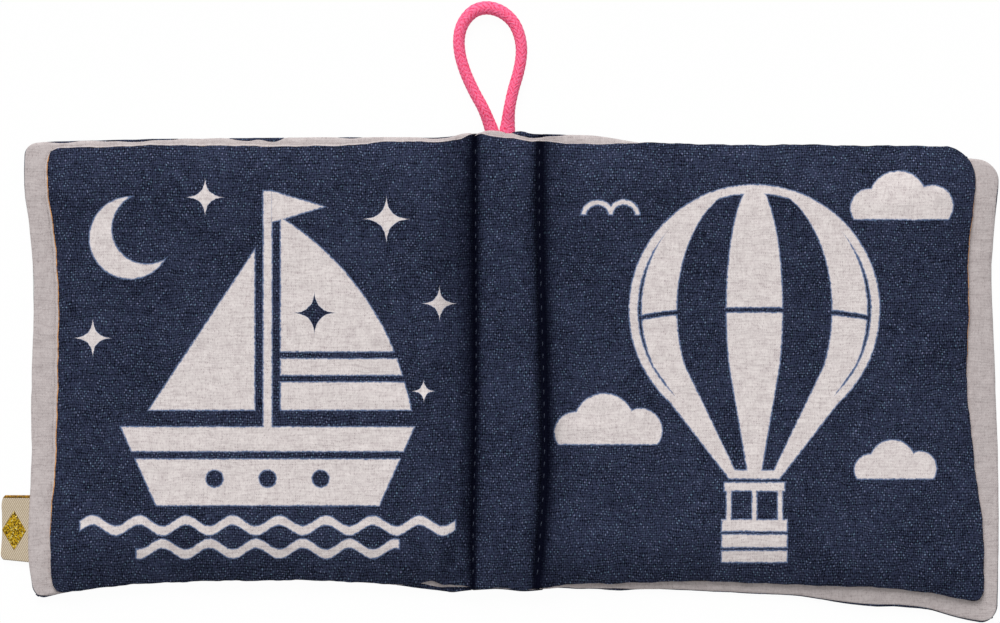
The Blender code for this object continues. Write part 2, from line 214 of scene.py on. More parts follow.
LEFT_SEAM = edge_up([(475.3, 128), (475.6, 220), (476.2, 330), (475.8, 420), (474.2, 489),
                     (473.2, 535), (473.2, 596)])
RIGHT_SEAM = edge_up([(539.8, 128), (539.2, 200), (541.0, 290), (544.0, 400), (544.4, 460),
                      (542.4, 506), (539.0, 552), (535.6, 596)])
SEAMS = {"left": LEFT_SEAM, "right": RIGHT_SEAM}

# The left page: the reach of the painted seam shade, the depth of the painted shade in its band,
# the fold's line
LEFT_PAGE_SHADE = values_up([(130, 0.0034), (460, 0.0034), (530, 0.0024), (590, 0.0018)])
LEFT_HOLLOW_SHADE_DEPTH = values_up([(130, 0.30), (330, 0.30), (430, 0.16), (560, 0.06), (600, 0)])
FOOT_FOLD = edge_up([(455, 525), (451.5, 548), (446, 564), (441, 577), (437, 592)])
FOOT_FOLD_SHARE = values_up([(100, 0), (520, 0), (535, 0.2), (550, 0.7), (562, 1), (600, 1)])

# A pad is one leaf or one stretch of spine. side is -1 at the left, +1 at the right and 0 for the
# spine. layer is +1 above the seams' axes (the page pad) and -1 below them (the cover pad). The
# rolls say how far the far and near cloths' edge seam lies from the pad's outermost line.
Pad = namedtuple("Pad", "side layer crown rim head foot head_roll foot_roll outer outer_roll "
                        "head_radius foot_radius")


def read_pad(side, layer, crown, head, foot, head_roll, foot_roll, outer=None, outer_roll=None,
             head_radius=0, foot_radius=0):
    """A pad from the pixels of its lines. The spine's pads have no outer line."""
    return Pad(side, layer, crown, PAGE_RIM if layer > 0 else COVER_RIM, edge_across(head),
               edge_across(foot), values_across(head_roll, PIXEL), values_across(foot_roll, PIXEL),
               outer and edge_up(outer), outer_roll and values_up(outer_roll, PIXEL),
               head_radius, foot_radius)


PADS = {
    "left_page": read_pad(
        -1, 1, PAGE_CROWN,
        head=[(20, 147), (60, 146.5), (100, 145.5), (160, 143.5), (240, 144), (300, 144.5),
            (350, 143.5), (380, 140.5), (420, 140), (451, 139.5), (462, 137.5), (471, 133.6),
            (480, 134)],
        foot=[(20, 601), (60, 594), (80, 590.6), (100, 588), (140, 584.4), (180, 582.2),
            (240, 581), (330, 581.2), (360, 582.6), (390, 584.6), (406, 584.8), (418, 583.4),
            (425, 582), (431, 580.9), (437, 582.8), (442.4, 584.8), (450, 584.7), (457, 585.4),
            (463, 586.2), (474, 588.4)],
        head_roll=[(20, 1.2), (100, 1.5), (240, 2.0), (350, 1.6), (440, 1.4), (474, 0.6)],
        foot_roll=[(20, -0.5), (474, -0.5)],
        outer=[(44, 130), (45, 160), (45, 190), (48, 215), (52.5, 250), (55, 300), (55, 330),
            (53.5, 400), (52, 470), (50.5, 510), (50, 550), (51.5, 580), (54, 610)],
        outer_roll=[(140, 1.5), (200, 2.6), (330, 3.0), (470, 2.6), (520, 0.4), (610, -0.4)],
        head_radius=0.006, foot_radius=0.0048),
    "right_page": read_pad(
        1, 1, PAGE_CROWN,
        head=[(539, 140.3), (545, 140.7), (556, 142), (600, 143), (660, 142.6), (720, 144.5),
            (800, 144.5), (880, 145.6), (940, 146), (990, 150)],
        foot=[(539, 588.8), (552, 587), (562, 585.5), (573, 584.2), (584, 583.3), (599, 583.6),
            (611, 584.3), (622, 583.4), (644, 582.8), (660, 582), (676, 581.3), (696, 581.4),
            (720, 581.8), (742, 582.6), (760, 583.3), (790, 584.8), (830, 586), (900, 589.4),
            (938, 594.4), (964, 600), (1000, 603)],
        head_roll=[(539, 0.8), (600, 0.8), (700, -0.6), (1000, -0.8)],
        foot_roll=[(539, -0.5), (1000, -0.5)],
        outer=[(976, 130), (975, 190), (972, 225), (969, 255), (969, 290), (970, 310), (968, 340),
            (966.6, 370), (968, 400), (971, 430), (976, 475), (981, 510), (984, 545),
            (983.4, 610)],
        outer_roll=[(130, -0.5), (300, 0.4), (400, -0.3), (610, -0.6)],
        head_radius=0.0098, foot_radius=0.0038),
    "left_cover": read_pad(
        -1, -1, COVER_CROWN,
        head=[(0, 144.5), (40, 142), (80, 140.6), (140, 139), (220, 138), (300, 137.2), (400, 137),
            (440, 137), (453, 136), (462, 133.6), (471, 133), (480, 133.6)],
        foot=[(0, 604), (40, 598.5), (60, 594), (80, 590.4), (120, 585.4), (180, 581.5),
            (240, 580.4), (320, 581.1), (360, 582.7), (397, 585.6), (422, 588.8), (442, 591.3),
            (452, 592.4), (463, 591.3), (474, 590)],
        head_roll=[(0, 0.2), (48, 0.2), (55, 1.4), (70, 1.5), (77, 0.5), (97, 0.6), (106, 1.5),
            (116, 1.6), (129, 2.6), (142, 2.6), (152, 1.6), (165, 1.3), (174, 1.0), (183, -0.4),
            (226, -0.4), (234, 1.6), (248, 3.4), (260, 2.0), (270, 4.2), (278, 3.6), (285, 0.2),
            (292, -0.3), (335, -0.2), (350, 1.4), (366, -0.2), (420, -0.2), (432, 1.1), (446, 1.0),
            (460, -0.4), (480, -0.4)],
        foot_roll=[(0, 2.0), (34, 2.2), (42, 2.0), (50, 0.6), (60, 0.3), (120, -0.4), (392, -0.4),
            (404, 1.6), (413, 4.4), (422, 5.3), (432, 4.1), (441, 3.9), (450, 5.4), (463, 4.3),
            (474, 3.0), (480, 2.6)],
        outer=[(25, 130), (23.6, 170), (24, 190), (28, 220), (31, 250), (33, 275), (33, 310),
            (32, 345), (30.4, 400), (30.8, 455), (29.4, 490), (27.6, 530), (28, 560), (31, 582),
            (35, 610)],
        outer_roll=[(130, 0.4), (160, 0.6), (200, 0.2), (560, -0.3), (585, 0.4), (600, 2.0),
            (612, 2.2)],
        head_radius=0.004, foot_radius=0.0044),
    "right_cover": read_pad(
        1, -1, COVER_CROWN,
        head=[(539, 134), (560, 134.4), (580, 135), (600, 136), (620, 139), (645, 143.5),
            (700, 146), (800, 149), (900, 154), (960, 157), (985, 160), (1010, 163)],
        foot=[(539, 589.6), (560, 588.3), (575, 589.1), (596, 589.4), (611, 590.4), (622, 590.8),
            (635, 590), (654, 589.4), (676, 590.2), (700, 591.4), (760, 594.4), (800, 596.6),
            (840, 603), (870, 606.6), (900, 607.4), (929, 610.4), (945, 614.6), (964, 619.6),
            (980, 622.4), (1010, 624)],
        head_roll=[(539, 3.4), (548, 2.4), (558, 1.7), (570, -0.4), (1010, -0.4)],
        foot_roll=[(539, -0.4), (556, -0.2), (563, 0.8), (576, 1.0), (596, 0.9), (604, 1.3),
            (612, 2.0), (622, 2.1), (631, 1.0), (640, 0.2), (664, 0.4), (680, 0.9), (702, 0.7),
            (728, 1.0), (760, 1.0), (800, 1.0), (850, 1.8), (890, 2.4), (925, 2.0), (950, 1.2),
            (980, 1.5), (1010, 1.2)],
        outer=[(999, 140), (998.6, 190), (996, 215), (994, 240), (992, 275), (993, 305),
            (995, 350), (997, 410), (998.6, 460), (999.2, 520), (999, 560), (998.2, 600),
            (997.4, 640)],
        outer_roll=[(140, -0.2), (180, 0.3), (200, 1.0), (215, 0.2), (500, 0.2), (600, 0.8),
            (640, 1.2)],
        head_radius=0.0062, foot_radius=0.0062),
    "spine_page": read_pad(
        0, 1, SPINE_CROWN,
        head=[(474, 135.6), (479, 133.4), (490, 134.8), (502, 135.8), (516, 137.2), (529, 139.6),
            (536, 139.6), (545, 139.9)],
        foot=[(470, 589.4), (480, 588.8), (506, 588.2), (524, 590.4), (535, 589.4), (545, 589)],
        head_roll=[(470, 1.4), (545, 1.4)],
        foot_roll=[(470, -0.6), (545, -0.6)]),
    "spine_cover": read_pad(
        0, -1, COVER_CROWN,
        head=[(474, 134.6), (479, 133.4), (485, 131), (494, 130.4), (502, 131.2), (510, 132.2),
            (517, 131.4), (522, 131), (529, 133), (545, 134.4)],
        foot=[(470, 590.6), (480, 589.9), (500, 589.6), (510, 590.4), (524, 591.6), (534, 591),
            (545, 589.8)],
        head_roll=[(470, -0.4), (508, -0.4), (515, 2.2), (519, 4.4), (525, 5.0), (534, 4.2),
            (545, 3.0)],
        foot_roll=[(470, 1.2), (500, 1.1), (524, 1.4), (545, 1.2)]),
}


# The grid of a cloth. Each line is (distance inside its near edge, distance inside its far edge,
# share of the way between the two).

def onwards(near, reach):
    """The distances near an edge and then even ones, on to reach."""
    count = round((reach - near[-1]) / GRID_STEP)
    return near + list(np.linspace(near[-1], reach, count + 1)[1:])


def lines_between(low, high, length, step=GRID_STEP):
    """Lines from one edge to the other: low and high are the distances near each edge."""
    count = max(2, round((length - low[-1] - high[-1]) / step))
    middle = [(low[-1], high[-1], share) for share in np.linspace(0, 1, count + 1)[1:-1]]
    return np.array([(d, high[-1], 0) for d in low] + middle
                    + [(low[-1], d, 1) for d in high[::-1]])


def between(low, high, share):
    return low + (high - low) * share


def rim_inset(arc, rim):
    """How far inside the pad's outermost line a point of the rim lies, by its arc length."""
    turn = np.clip(np.abs(arc) / rim, 0, math.pi / 2)
    return rim * (1 - np.cos(turn)) + np.maximum(np.abs(arc) - rim * math.pi / 2, 0)


def rim_rise(arc, rim):
    """Height of a point of the rim as a share of its radius, from -1 to 1."""
    return np.sin(np.clip(arc / rim, -math.pi / 2, math.pi / 2))


def roll_arc(roll, rim):
    """The arc length from the outermost line to a seam that is rolled this far on to the top."""
    turn = np.arccos(1 - np.clip(np.abs(roll) / rim, 0, 1))
    return np.sign(roll) * (turn * rim + np.maximum(np.abs(roll) - rim, 0))


def swell(distance, length):
    """0 at an edge and 1 at length inside it, along a parabola."""
    return 1 - (1 - np.clip(distance / length, 0, 1)) ** 2


Sheet = namedtuple("Sheet", "place flat rim fringe shade")


def fine_lines(pad):
    """The columns and rows of a cloth's grid."""
    edge = onwards(NEAR_EDGE, EDGE_ROUND)
    if pad.side:
        columns = lines_between(onwards(NEAR_ROOT, EDGE_ROUND), edge, PAD_LENGTH)
    else:
        root = onwards(NEAR_ROOT, SPINE_ROOT_REACH)
        columns = lines_between(root, root, SPINE_LENGTH)
    return columns, lines_between(edge, edge, PAD_HEIGHT)


def length_across(pad):
    return PAD_LENGTH if pad.side else SPINE_LENGTH


def turn_outwards(piece, pad, up_side):
    """Turns a cloth's faces to its pad's outside. The left grids run the other way."""
    if (up_side < 0) != (pad.side < 0):
        piece.data.flip_normals()


def vertex_places(mesh):
    places = np.zeros(len(mesh.vertices) * 3)
    mesh.vertices.foreach_get("co", places)
    return places.reshape(-1, 3)


def roots(pad, y):
    """X of the seams a pad starts from: one for a leaf, the left and right ones for the spine."""
    left, right = LEFT_SEAM(y), RIGHT_SEAM(y)
    if pad.layer < 0:
        if pad.side:
            left = np.minimum(left - COVER_SET_BACK, -COVER_ROOT)
            right = np.maximum(right + COVER_SET_BACK, COVER_ROOT)
        else:
            right = np.maximum(right, SPINE_COVER_END)
    return left, right


def root_distance(pad, x, y):
    """Distance from a pad's nearest stitched seam."""
    if pad.side:
        return pad.side * (x - (LEFT_SEAM if pad.side < 0 else RIGHT_SEAM)(y))
    left, right = roots(pad, y)
    return np.minimum(x - left, right - x)


def bump(offset, half_width):
    """1 at no offset and less away from it."""
    return np.exp(-(offset / half_width) ** 2)


def thickness(pad, x, y):
    """Thickness of a pad away from its edges, and its painted seam shade: 1 in the open, less where
    the seams' shade is painted into its colour.
    """
    along = root_distance(pad, x, y)
    at_left = (x < 0).astype(float)

    def by_seam(values):
        return between(values[1], values[0], at_left)

    channel = by_seam(CHANNELS)
    if pad.side:
        steepness = by_seam(PAGE_STEEPNESS)
        shade_reach = by_seam((LEFT_PAGE_SHADE(y), RIGHT_PAGE_SHADE))
        shade_end = by_seam(PAGE_SHADE_ENDS)
    else:
        steepness = by_seam(SPINE_STEEPNESS)
        shade_reach = by_seam(SPINE_SHADES)
        shade_end = SPINE_SHADE_END
    if pad.layer < 0:
        steepness = COVER_STEEPNESS
        if pad.side == 0:
            channel = by_seam(SPINE_COVER_CHANNELS)
    round_share = np.clip((along - channel) / ROOT_ROUND, 0, 1)
    far = SEAM_HALF + (pad.crown - SEAM_HALF) * (1 - (1 - round_share) ** steepness)
    far -= (PUCKER_DEPTH * np.cos(2 * math.pi * y / STITCH_PITCH)
            * np.exp(-along / PUCKER_REACH) * (along > 0))
    # Painted shade: the colour darkens out of the seams, in a band beside them and along the foot
    # fold, where the shade of the grooves and folds falls
    from_channel = np.clip(along - channel * SHADE_START_SHARE, 0, None)
    shade = 1 - SHADE_DEPTH * np.exp(-(from_channel / shade_reach) ** shade_end)
    if pad.side < 0 and pad.layer > 0:
        fold = bump(x - FOOT_FOLD(y), FOOT_FOLD_HALF_WIDTH) * FOOT_FOLD_SHARE(y)
        far -= FOOT_FOLD_DEPTH * fold
        hollow = bump(along - LEFT_HOLLOW_SHADE[0], LEFT_HOLLOW_SHADE[1]) * LEFT_HOLLOW_SHADE_DEPTH(y)
        shade = shade - hollow - FOOT_FOLD_SHADE * fold
    elif pad.side > 0 and pad.layer > 0:
        shade = shade - bump(along - RIGHT_HOLLOW_SHADE[0], RIGHT_HOLLOW_SHADE[1]) * RIGHT_HOLLOW_SHADE_DEPTH
    return far - NEAR_LEVEL, np.clip(shade, 0, 1)


def fullness_at(pad, x, y):
    """How far a pad has swollen out of its edge seams, from 0 to 1."""
    full = swell(pad.head(x) - y, EDGE_ROUND) * swell(y - pad.foot(x), EDGE_ROUND)
    if pad.side:
        full = full * swell(pad.side * (pad.outer(y) - x), EDGE_ROUND)
    return full


def middle_height(pad, x, y, thick, full):
    """Height of a pad's middle. The covers droop at their edges, and the pages lie on them."""
    half = thick / 2
    if pad.layer < 0:
        return AXIS_HEIGHT - NEAR_LEVEL - half - COVER_DROOP * thick / pad.crown * (1 - full)
    cover = next(other for other in PADS.values() if other.side == pad.side and other.layer < 0)
    cover_thick, _ = thickness(cover, x, y)
    cover_full = fullness_at(cover, x, y)
    rim = np.minimum(cover.rim, cover_thick / 2)
    lining = (middle_height(cover, x, y, cover_thick, cover_full)
              + rim + (cover_thick / 2 - rim) * cover_full)
    rim = np.minimum(pad.rim, half)
    return lining + 2 * NEAR_LEVEL + rim + (half - rim) * full


def uneven(place, seed):
    """The small bumps of a sewn edge, in metres, for arrays of places along it."""
    place = place / PIXEL
    return PIXEL * (0.22 * np.sin(place / 2.1 + seed) * np.sin(place / 17 + 2 * seed)
                    + 0.30 * np.sin(place / 5.3 + 3 * seed) + 0.26 * np.sin(place / 13 + 5 * seed))


def cloth_sheet(pad, up_side, columns, rows):
    """The outer surface of one cloth of a pad, as arrays of columns by rows.

    up_side is +1 for the pad's upper cloth and -1 for its lower one.
    """
    column, row = columns[:, None, :], rows[None, :, :]
    shape = (len(columns), len(rows))
    x, y = np.zeros(shape), np.zeros(shape)
    x += OUTLINE_START * pad.side
    bumps = 1.0 if pad.layer > 0 else COVER_BUMPS
    for _ in range(OUTLINE_STEPS):
        head_arc = roll_arc(pad.head_roll(x), pad.rim) + up_side * row[..., 1]
        foot_arc = roll_arc(pad.foot_roll(x), pad.rim) + up_side * row[..., 0]
        low = pad.foot(x) + bumps * uneven(x, 1.0) + rim_inset(foot_arc, pad.rim)
        high = pad.head(x) + bumps * uneven(x, 2.0) - rim_inset(head_arc, pad.rim)
        y = between(low, high, row[..., 2])
        left, right = roots(pad, y)
        if pad.side:
            root = left if pad.side < 0 else right
            outer_arc = roll_arc(pad.outer_roll(y), pad.rim) + up_side * column[..., 1]
            outer = pad.outer(y) + bumps * uneven(y, 3.0 + pad.side)
            x = between(root + pad.side * column[..., 0],
                        outer - pad.side * rim_inset(outer_arc, pad.rim), column[..., 2])
        else:
            x = between(left + column[..., 0], right - column[..., 1], column[..., 2])
    to_head, to_foot = pad.head(x) - y, y - pad.foot(x)
    flat_x, flat_y = x.copy(), y.copy()
    full = fullness_at(pad, x, y)
    level = np.minimum if up_side > 0 else np.maximum
    rise = level(rim_rise(head_arc, pad.rim), rim_rise(foot_arc, pad.rim))
    rim_distance = np.minimum(row[..., 0] + row[..., 2], row[..., 1] + (1 - row[..., 2]))
    if pad.side:
        to_outer = pad.side * (pad.outer(y) - x)
        for to_edge, radius, sign in ((to_head, pad.head_radius, 1),
                                      (to_foot, pad.foot_radius, -1)):
            over_outer = np.clip(radius - to_outer, 0, None)
            over_edge = np.clip(radius - to_edge, 0, None)
            limit = 2 * radius ** 2
            x -= pad.side * over_outer * (1 - np.sqrt(1 - over_edge ** 2 / limit))
            y -= sign * over_edge * (1 - np.sqrt(1 - over_outer ** 2 / limit))
        rise = level(rise, rim_rise(outer_arc, pad.rim))
        rim_distance = np.minimum(rim_distance, column[..., 1] + (1 - column[..., 2]))
    thick, shade = thickness(pad, x, y)
    half = thick / 2
    rim = np.minimum(pad.rim, half)
    z = (middle_height(pad, x, y, thick, full)
         + rim * rise + np.sign(rise) * (half - rim) * full)
    z = np.maximum(z, FLOOR_GAP)
    fringe = between(HEAD_FRINGE, 1, swell(np.minimum(to_head, to_foot), FRINGE_REACH))
    return Sheet(np.stack([x, y, z], -1), np.stack([flat_x, flat_y], -1),
                 rim_distance + np.zeros(shape), fringe, shade)


def grid_piece(name, place, flat, closed_around=False):
    """A piece made of a grid of columns by rows laid at the given places, with its flat map."""
    columns, rows = place.shape[:2]
    bpy.ops.object.select_all(action="DESELECT")
    bpy.ops.mesh.primitive_grid_add(x_subdivisions=columns - 1, y_subdivisions=rows - 1, size=1)
    piece = bpy.context.object
    piece.name = piece.data.name = name
    mesh = piece.data
    grid = vertex_places(mesh)
    column = np.rint((grid[:, 0] + 0.5) * (columns - 1)).astype(int)
    row = np.rint((grid[:, 1] + 0.5) * (rows - 1)).astype(int)
    mesh.vertices.foreach_set("co", place[column, row].ravel())
    ends = np.zeros(len(mesh.loops), int)
    mesh.loops.foreach_get("vertex_index", ends)
    layer = mesh.uv_layers[0]
    layer.name = "cloth"
    layer.uv.foreach_set("vector", flat[column, row][ends].astype(np.float32).ravel())
    if closed_around:
        bpy.ops.object.mode_set(mode="EDIT")
        bpy.ops.mesh.select_all(action="SELECT")
        bpy.ops.mesh.remove_doubles(threshold=1e-7)
        bpy.ops.mesh.select_all(action="DESELECT")
        bpy.ops.mesh.select_non_manifold()
        bpy.ops.mesh.edge_face_add()
        bpy.ops.mesh.select_all(action="SELECT")
        bpy.ops.mesh.normals_make_consistent(inside=False)
        bpy.ops.object.mode_set(mode="OBJECT")
    bpy.ops.object.shade_smooth()
    return piece, column, row


def apply_modifier(piece, modifier):
    bpy.ops.object.select_all(action="DESELECT")
    piece.select_set(True)
    bpy.context.view_layer.objects.active = piece
    bpy.ops.object.modifier_apply(modifier=modifier.name)


def line_places(lines, length):
    """How far along the cloth each line of its grid lies."""
    low, high, share = lines.T
    return low + share * (length - low - high)


def softened(field, passes):
    """A grid of vectors averaged with their neighbours, its borders kept."""
    for _ in range(passes):
        inner = (field[:-2, 1:-1] + field[2:, 1:-1] + field[1:-1, :-2] + field[1:-1, 2:]) / 4
        field[1:-1, 1:-1] = (field[1:-1, 1:-1] + inner) / 2
    return field


def settled(pad_name, up_side):
    """How far a coarse copy of a cloth moves when its padding pushes it out between its seams."""
    pad = PADS[pad_name]
    length = length_across(pad)
    columns = lines_between(SIM_NEAR_ROOT, SIM_NEAR_EDGE, length, SIM_STEP)
    rows = lines_between(SIM_NEAR_EDGE, SIM_NEAR_EDGE, PAD_HEIGHT, SIM_STEP)
    rest = cloth_sheet(pad, up_side, columns, rows).place
    seed = list(PADS).index(pad_name) * 2 + (up_side > 0)
    start = rest.copy()
    for column in range(1, len(columns) - 1):
        for row in range(1, len(rows) - 1):
            x, y, _ = rest[column, row]
            start[column, row, 2] += SIM_UNEVEN * noise.noise(
                (x * SIM_UNEVEN_PER_METRE, y * SIM_UNEVEN_PER_METRE, seed * SIM_SEED_STEP))
    piece, column_of, row_of = grid_piece("settling", start, start[..., :2])
    turn_outwards(piece, pad, up_side)
    held = piece.vertex_groups.new(name="held")
    ring = np.minimum(np.minimum(column_of, len(columns) - 1 - column_of),
                      np.minimum(row_of, len(rows) - 1 - row_of))
    for number, weight in ((0, 1.0), (1, 0.5)):
        held.add([int(index) for index in np.flatnonzero(ring == number)], weight, "REPLACE")
    cloth = piece.modifiers.new("muslin", "CLOTH")
    for key, value in SIM_SETTINGS.items():
        setattr(cloth.settings, key, value)
    cloth.settings.effector_weights.gravity = 0
    cloth.point_cache.frame_start = 1
    cloth.point_cache.frame_end = SIM_FRAMES
    scene = bpy.context.scene
    for frame_number in range(1, SIM_FRAMES + 1):
        scene.frame_set(frame_number)
    apply_modifier(piece, cloth)
    scene.frame_set(1)
    moved = np.zeros_like(rest)
    moved[column_of, row_of] = vertex_places(piece.data)
    moved -= rest
    bpy.data.meshes.remove(piece.data)
    wrinkles = moved - softened(moved.copy(), BULGE_PASSES)
    moved = softened(wrinkles, 1) * SIM_SHARE
    size = np.linalg.norm(moved, axis=-1, keepdims=True)
    moved *= SIM_MOST / np.sqrt(SIM_MOST ** 2 + size ** 2)
    return moved, line_places(columns, length), line_places(rows, PAD_HEIGHT)


def settle(sheet, lines, pad_name, up_side):
    """Moves the fine grid of a cloth as its coarse copy moved."""
    pad = PADS[pad_name]
    moved, coarse_columns, coarse_rows = settled(pad_name, up_side)
    columns = line_places(lines[0], length_across(pad))
    rows = line_places(lines[1], PAD_HEIGHT)
    by_row = np.stack([[np.interp(rows, coarse_rows, moved[column, :, axis])
                        for column in range(len(coarse_columns))] for axis in range(3)], -1)
    fine = np.stack([np.stack([np.interp(columns, coarse_columns, by_row[:, row, axis])
                               for row in range(len(rows))], 1) for axis in range(3)], -1)
    if pad.layer != up_side:
        fine[..., 2] = np.abs(fine[..., 2]) * pad.layer * SIM_INNER_SHARE
    near = np.clip(sheet.rim / EDGE_HOLD, 0, 1)
    along = root_distance(pad, sheet.place[..., 0], sheet.place[..., 1])
    near = (near * np.clip((along - ROOT_HOLD_START) / ROOT_HOLD, 0, 1))[..., None]
    sheet.place[:] = sheet.place + fine * near
    sheet.place[..., 2] = np.maximum(sheet.place[..., 2], FLOOR_GAP)


def cloth_piece(name, pad_name, up_side):
    """A cloth of a pad: a grid laid on its sheet, and settled over its padding."""
    pad = PADS[pad_name]
    lines = fine_lines(pad)
    sheet = cloth_sheet(pad, up_side, *lines)
    settle(sheet, lines, pad_name, up_side)
    piece, column, row = grid_piece(name, sheet.place, sheet.flat)
    for key, values in (("rim", sheet.rim), ("fringe", sheet.fringe), ("shade", sheet.shade)):
        attribute = piece.data.attributes.new(key, "FLOAT", "POINT")
        attribute.data.foreach_set("value", values[column, row].astype(np.float32))
    turn_outwards(piece, pad, up_side)
    return piece


def thicken(piece, thickness=CLOTH):
    """Gives an open piece its thickness, inwards from its outer face, and closes it."""
    solid = piece.modifiers.new("thickness", "SOLIDIFY")
    solid.thickness = thickness
    solid.offset = -1
    apply_modifier(piece, solid)
    bpy.ops.object.shade_smooth()


# Node trees, written as sums

class Wire:
    """A value or vector in a node tree, with the arithmetic that joins it to others."""

    def __init__(self, tree, socket):
        self.tree, self.socket = tree, socket

    def joined(self, kind, operation, *values, output=0):
        made = self.tree.nodes.new(kind)
        made.operation = operation
        for socket, value in zip(made.inputs, values):
            feed(self.tree, socket, value)
        return Wire(self.tree, made.outputs[output])

    def math(self, operation, *values):
        return self.joined("ShaderNodeMath", operation, self, *values)

    def vector(self, operation, *values, output=0):
        return self.joined("ShaderNodeVectorMath", operation, self, *values, output=output)

    def __add__(self, other):
        return self.math("ADD", other)

    def __sub__(self, other):
        return self.math("SUBTRACT", other)

    def __rsub__(self, other):
        return self.joined("ShaderNodeMath", "SUBTRACT", other, self)

    def __mul__(self, other):
        return self.math("MULTIPLY", other)

    def __truediv__(self, other):
        return self.math("DIVIDE", other)

    __radd__ = __add__
    __rmul__ = __mul__

    def __neg__(self):
        return self * -1

    def __abs__(self):
        return self.math("ABSOLUTE")

    def held(self, low=0, high=1):
        """The value kept between low and high."""
        return self.math("MINIMUM", high).math("MAXIMUM", low)

    def wave(self, operation="SINE"):
        """A wave from 0 to 1."""
        return self.math(operation) * 0.5 + 0.5

    def parts(self):
        made = self.tree.nodes.new("ShaderNodeSeparateXYZ")
        self.tree.links.new(self.socket, made.inputs[0])
        return [Wire(self.tree, output) for output in made.outputs]

    def rises(self, low, high):
        """0 below low and 1 above high, smoothly."""
        made = self.tree.nodes.new("ShaderNodeMapRange")
        made.interpolation_type = "SMOOTHSTEP"
        for socket, value in zip(made.inputs, (self, low, high, 0.0, 1.0)):
            feed(self.tree, socket, value)
        return Wire(self.tree, made.outputs[0])

    def colours(self, low, high):
        """A colour between two others."""
        made = self.tree.nodes.new("ShaderNodeMix")
        made.data_type = "RGBA"
        sockets = {socket.identifier: socket for socket in made.inputs}
        feed(self.tree, sockets["Factor_Float"], self)
        feed(self.tree, sockets["A_Color"], low)
        feed(self.tree, sockets["B_Color"], high)
        return Wire(self.tree, made.outputs[2])


def feed(tree, socket, value):
    if isinstance(value, Wire):
        tree.links.new(value.socket, socket)
    elif isinstance(value, tuple) and socket.type == "RGBA":
        socket.default_value = linear(value)
    else:
        socket.default_value = value


def linear(colour):
    """A colour given as 0 to 255 display values, as the renderer's linear one."""
    return [((part / 255 + 0.055) / 1.055) ** 2.4 if part > 10.3 else part / 255 / 12.92
            for part in colour] + [1]


def least(*values):
    return reduce(lambda result, value: result.math("MINIMUM", value), values)


def most(*values):
    return reduce(lambda result, value: result.math("MAXIMUM", value), values)


def joined_vector(tree, x, y):
    made = tree.nodes.new("ShaderNodeCombineXYZ")
    for socket, value in zip(made.inputs, (x, y)):
        feed(tree, socket, value)
    return Wire(tree, made.outputs[0])


def noise_at(place, scale, detail=1.0, roughness=0.5, vector=False):
    made = place.tree.nodes.new("ShaderNodeTexNoise")
    made.inputs["Scale"].default_value = scale
    made.inputs["Detail"].default_value = detail
    made.inputs["Roughness"].default_value = roughness
    place.tree.links.new(place.socket, made.inputs["Vector"])
    return Wire(place.tree, made.outputs["Color" if vector else "Fac"])


def strays(place, scale, detail, reach):
    """A smooth random shift across and up, of up to half of reach either way."""
    shift = noise_at(place, scale, detail, vector=True).vector("SUBTRACT", (0.5, 0.5, 0.5))
    return shift.vector("MULTIPLY", (reach, reach, 0))


def random_at(place):
    """A value of its own for each whole-numbered place."""
    made = place.tree.nodes.new("ShaderNodeTexWhiteNoise")
    made.noise_dimensions = "3D"
    place.tree.links.new(place.socket, made.inputs["Vector"])
    return Wire(place.tree, made.outputs["Value"])


def group(name, inputs, outputs):
    """A new node group. Returns its tree, its inputs as wires and a function that fills outputs."""
    tree = bpy.data.node_groups.new(name, "ShaderNodeTree")
    for in_out, sockets in (("INPUT", inputs), ("OUTPUT", outputs)):
        for key, kind in sockets.items():
            tree.interface.new_socket(key, in_out=in_out, socket_type="NodeSocket" + kind)
    entry = tree.nodes.new("NodeGroupInput")
    end = tree.nodes.new("NodeGroupOutput")

    def fill(**values):
        for key, value in values.items():
            feed(tree, end.inputs[key], value)

    return tree, [Wire(tree, entry.outputs[key]) for key in inputs], fill


def use_group(tree, name, **inputs):
    """The named group's node in another tree, with its outputs as wires by name."""
    made = tree.nodes.new("ShaderNodeGroup")
    made.node_tree = bpy.data.node_groups[name]
    for key, value in inputs.items():
        feed(tree, made.inputs[key], value)
    return {output.name: Wire(tree, output) for output in made.outputs}


# Shapes of the prints, as distances in millimetres: below 0 is inside

def disc(place, x, y, radius):
    return place.vector("DISTANCE", (x, y, 0), output=1) - radius


def beyond(place, start, end):
    """Distance to the right of the line from start to end."""
    length = math.dist(start, end)
    across = ((end[1] - start[1]) / length, (start[0] - end[0]) / length, 0)
    return (place.vector("DOT_PRODUCT", across, output=1)
            - (across[0] * start[0] + across[1] * start[1]))


def corners(place, *points):
    """A shape with straight sides and no hollows, its corners given anticlockwise."""
    return most(*[beyond(place, a, b) for a, b in zip(points, points[1:] + points[:1])])


def bar(x, y, centre_x, centre_y, half_x, half_y):
    return most(abs(x - centre_x) - half_x, abs(y - centre_y) - half_y)


def sparkle(place, x, y, size):
    """A four-pointed star with hollow sides."""
    across, up, _ = place.vector("SUBTRACT", (x, y, 0)).parts()
    spread = abs(across).math("SQRT") + abs(up).math("SQRT")
    return spread * spread - size


def cloud(place, y, x, base, size):
    """Three round puffs on a flat base."""
    puffs = least(disc(place, x - size, base + 0.35 * size, 0.62 * size),
                  disc(place, x - 0.1 * size, base + 0.62 * size, 0.92 * size),
                  disc(place, x + size, base + 0.42 * size, 0.66 * size))
    return most(puffs, base - y)


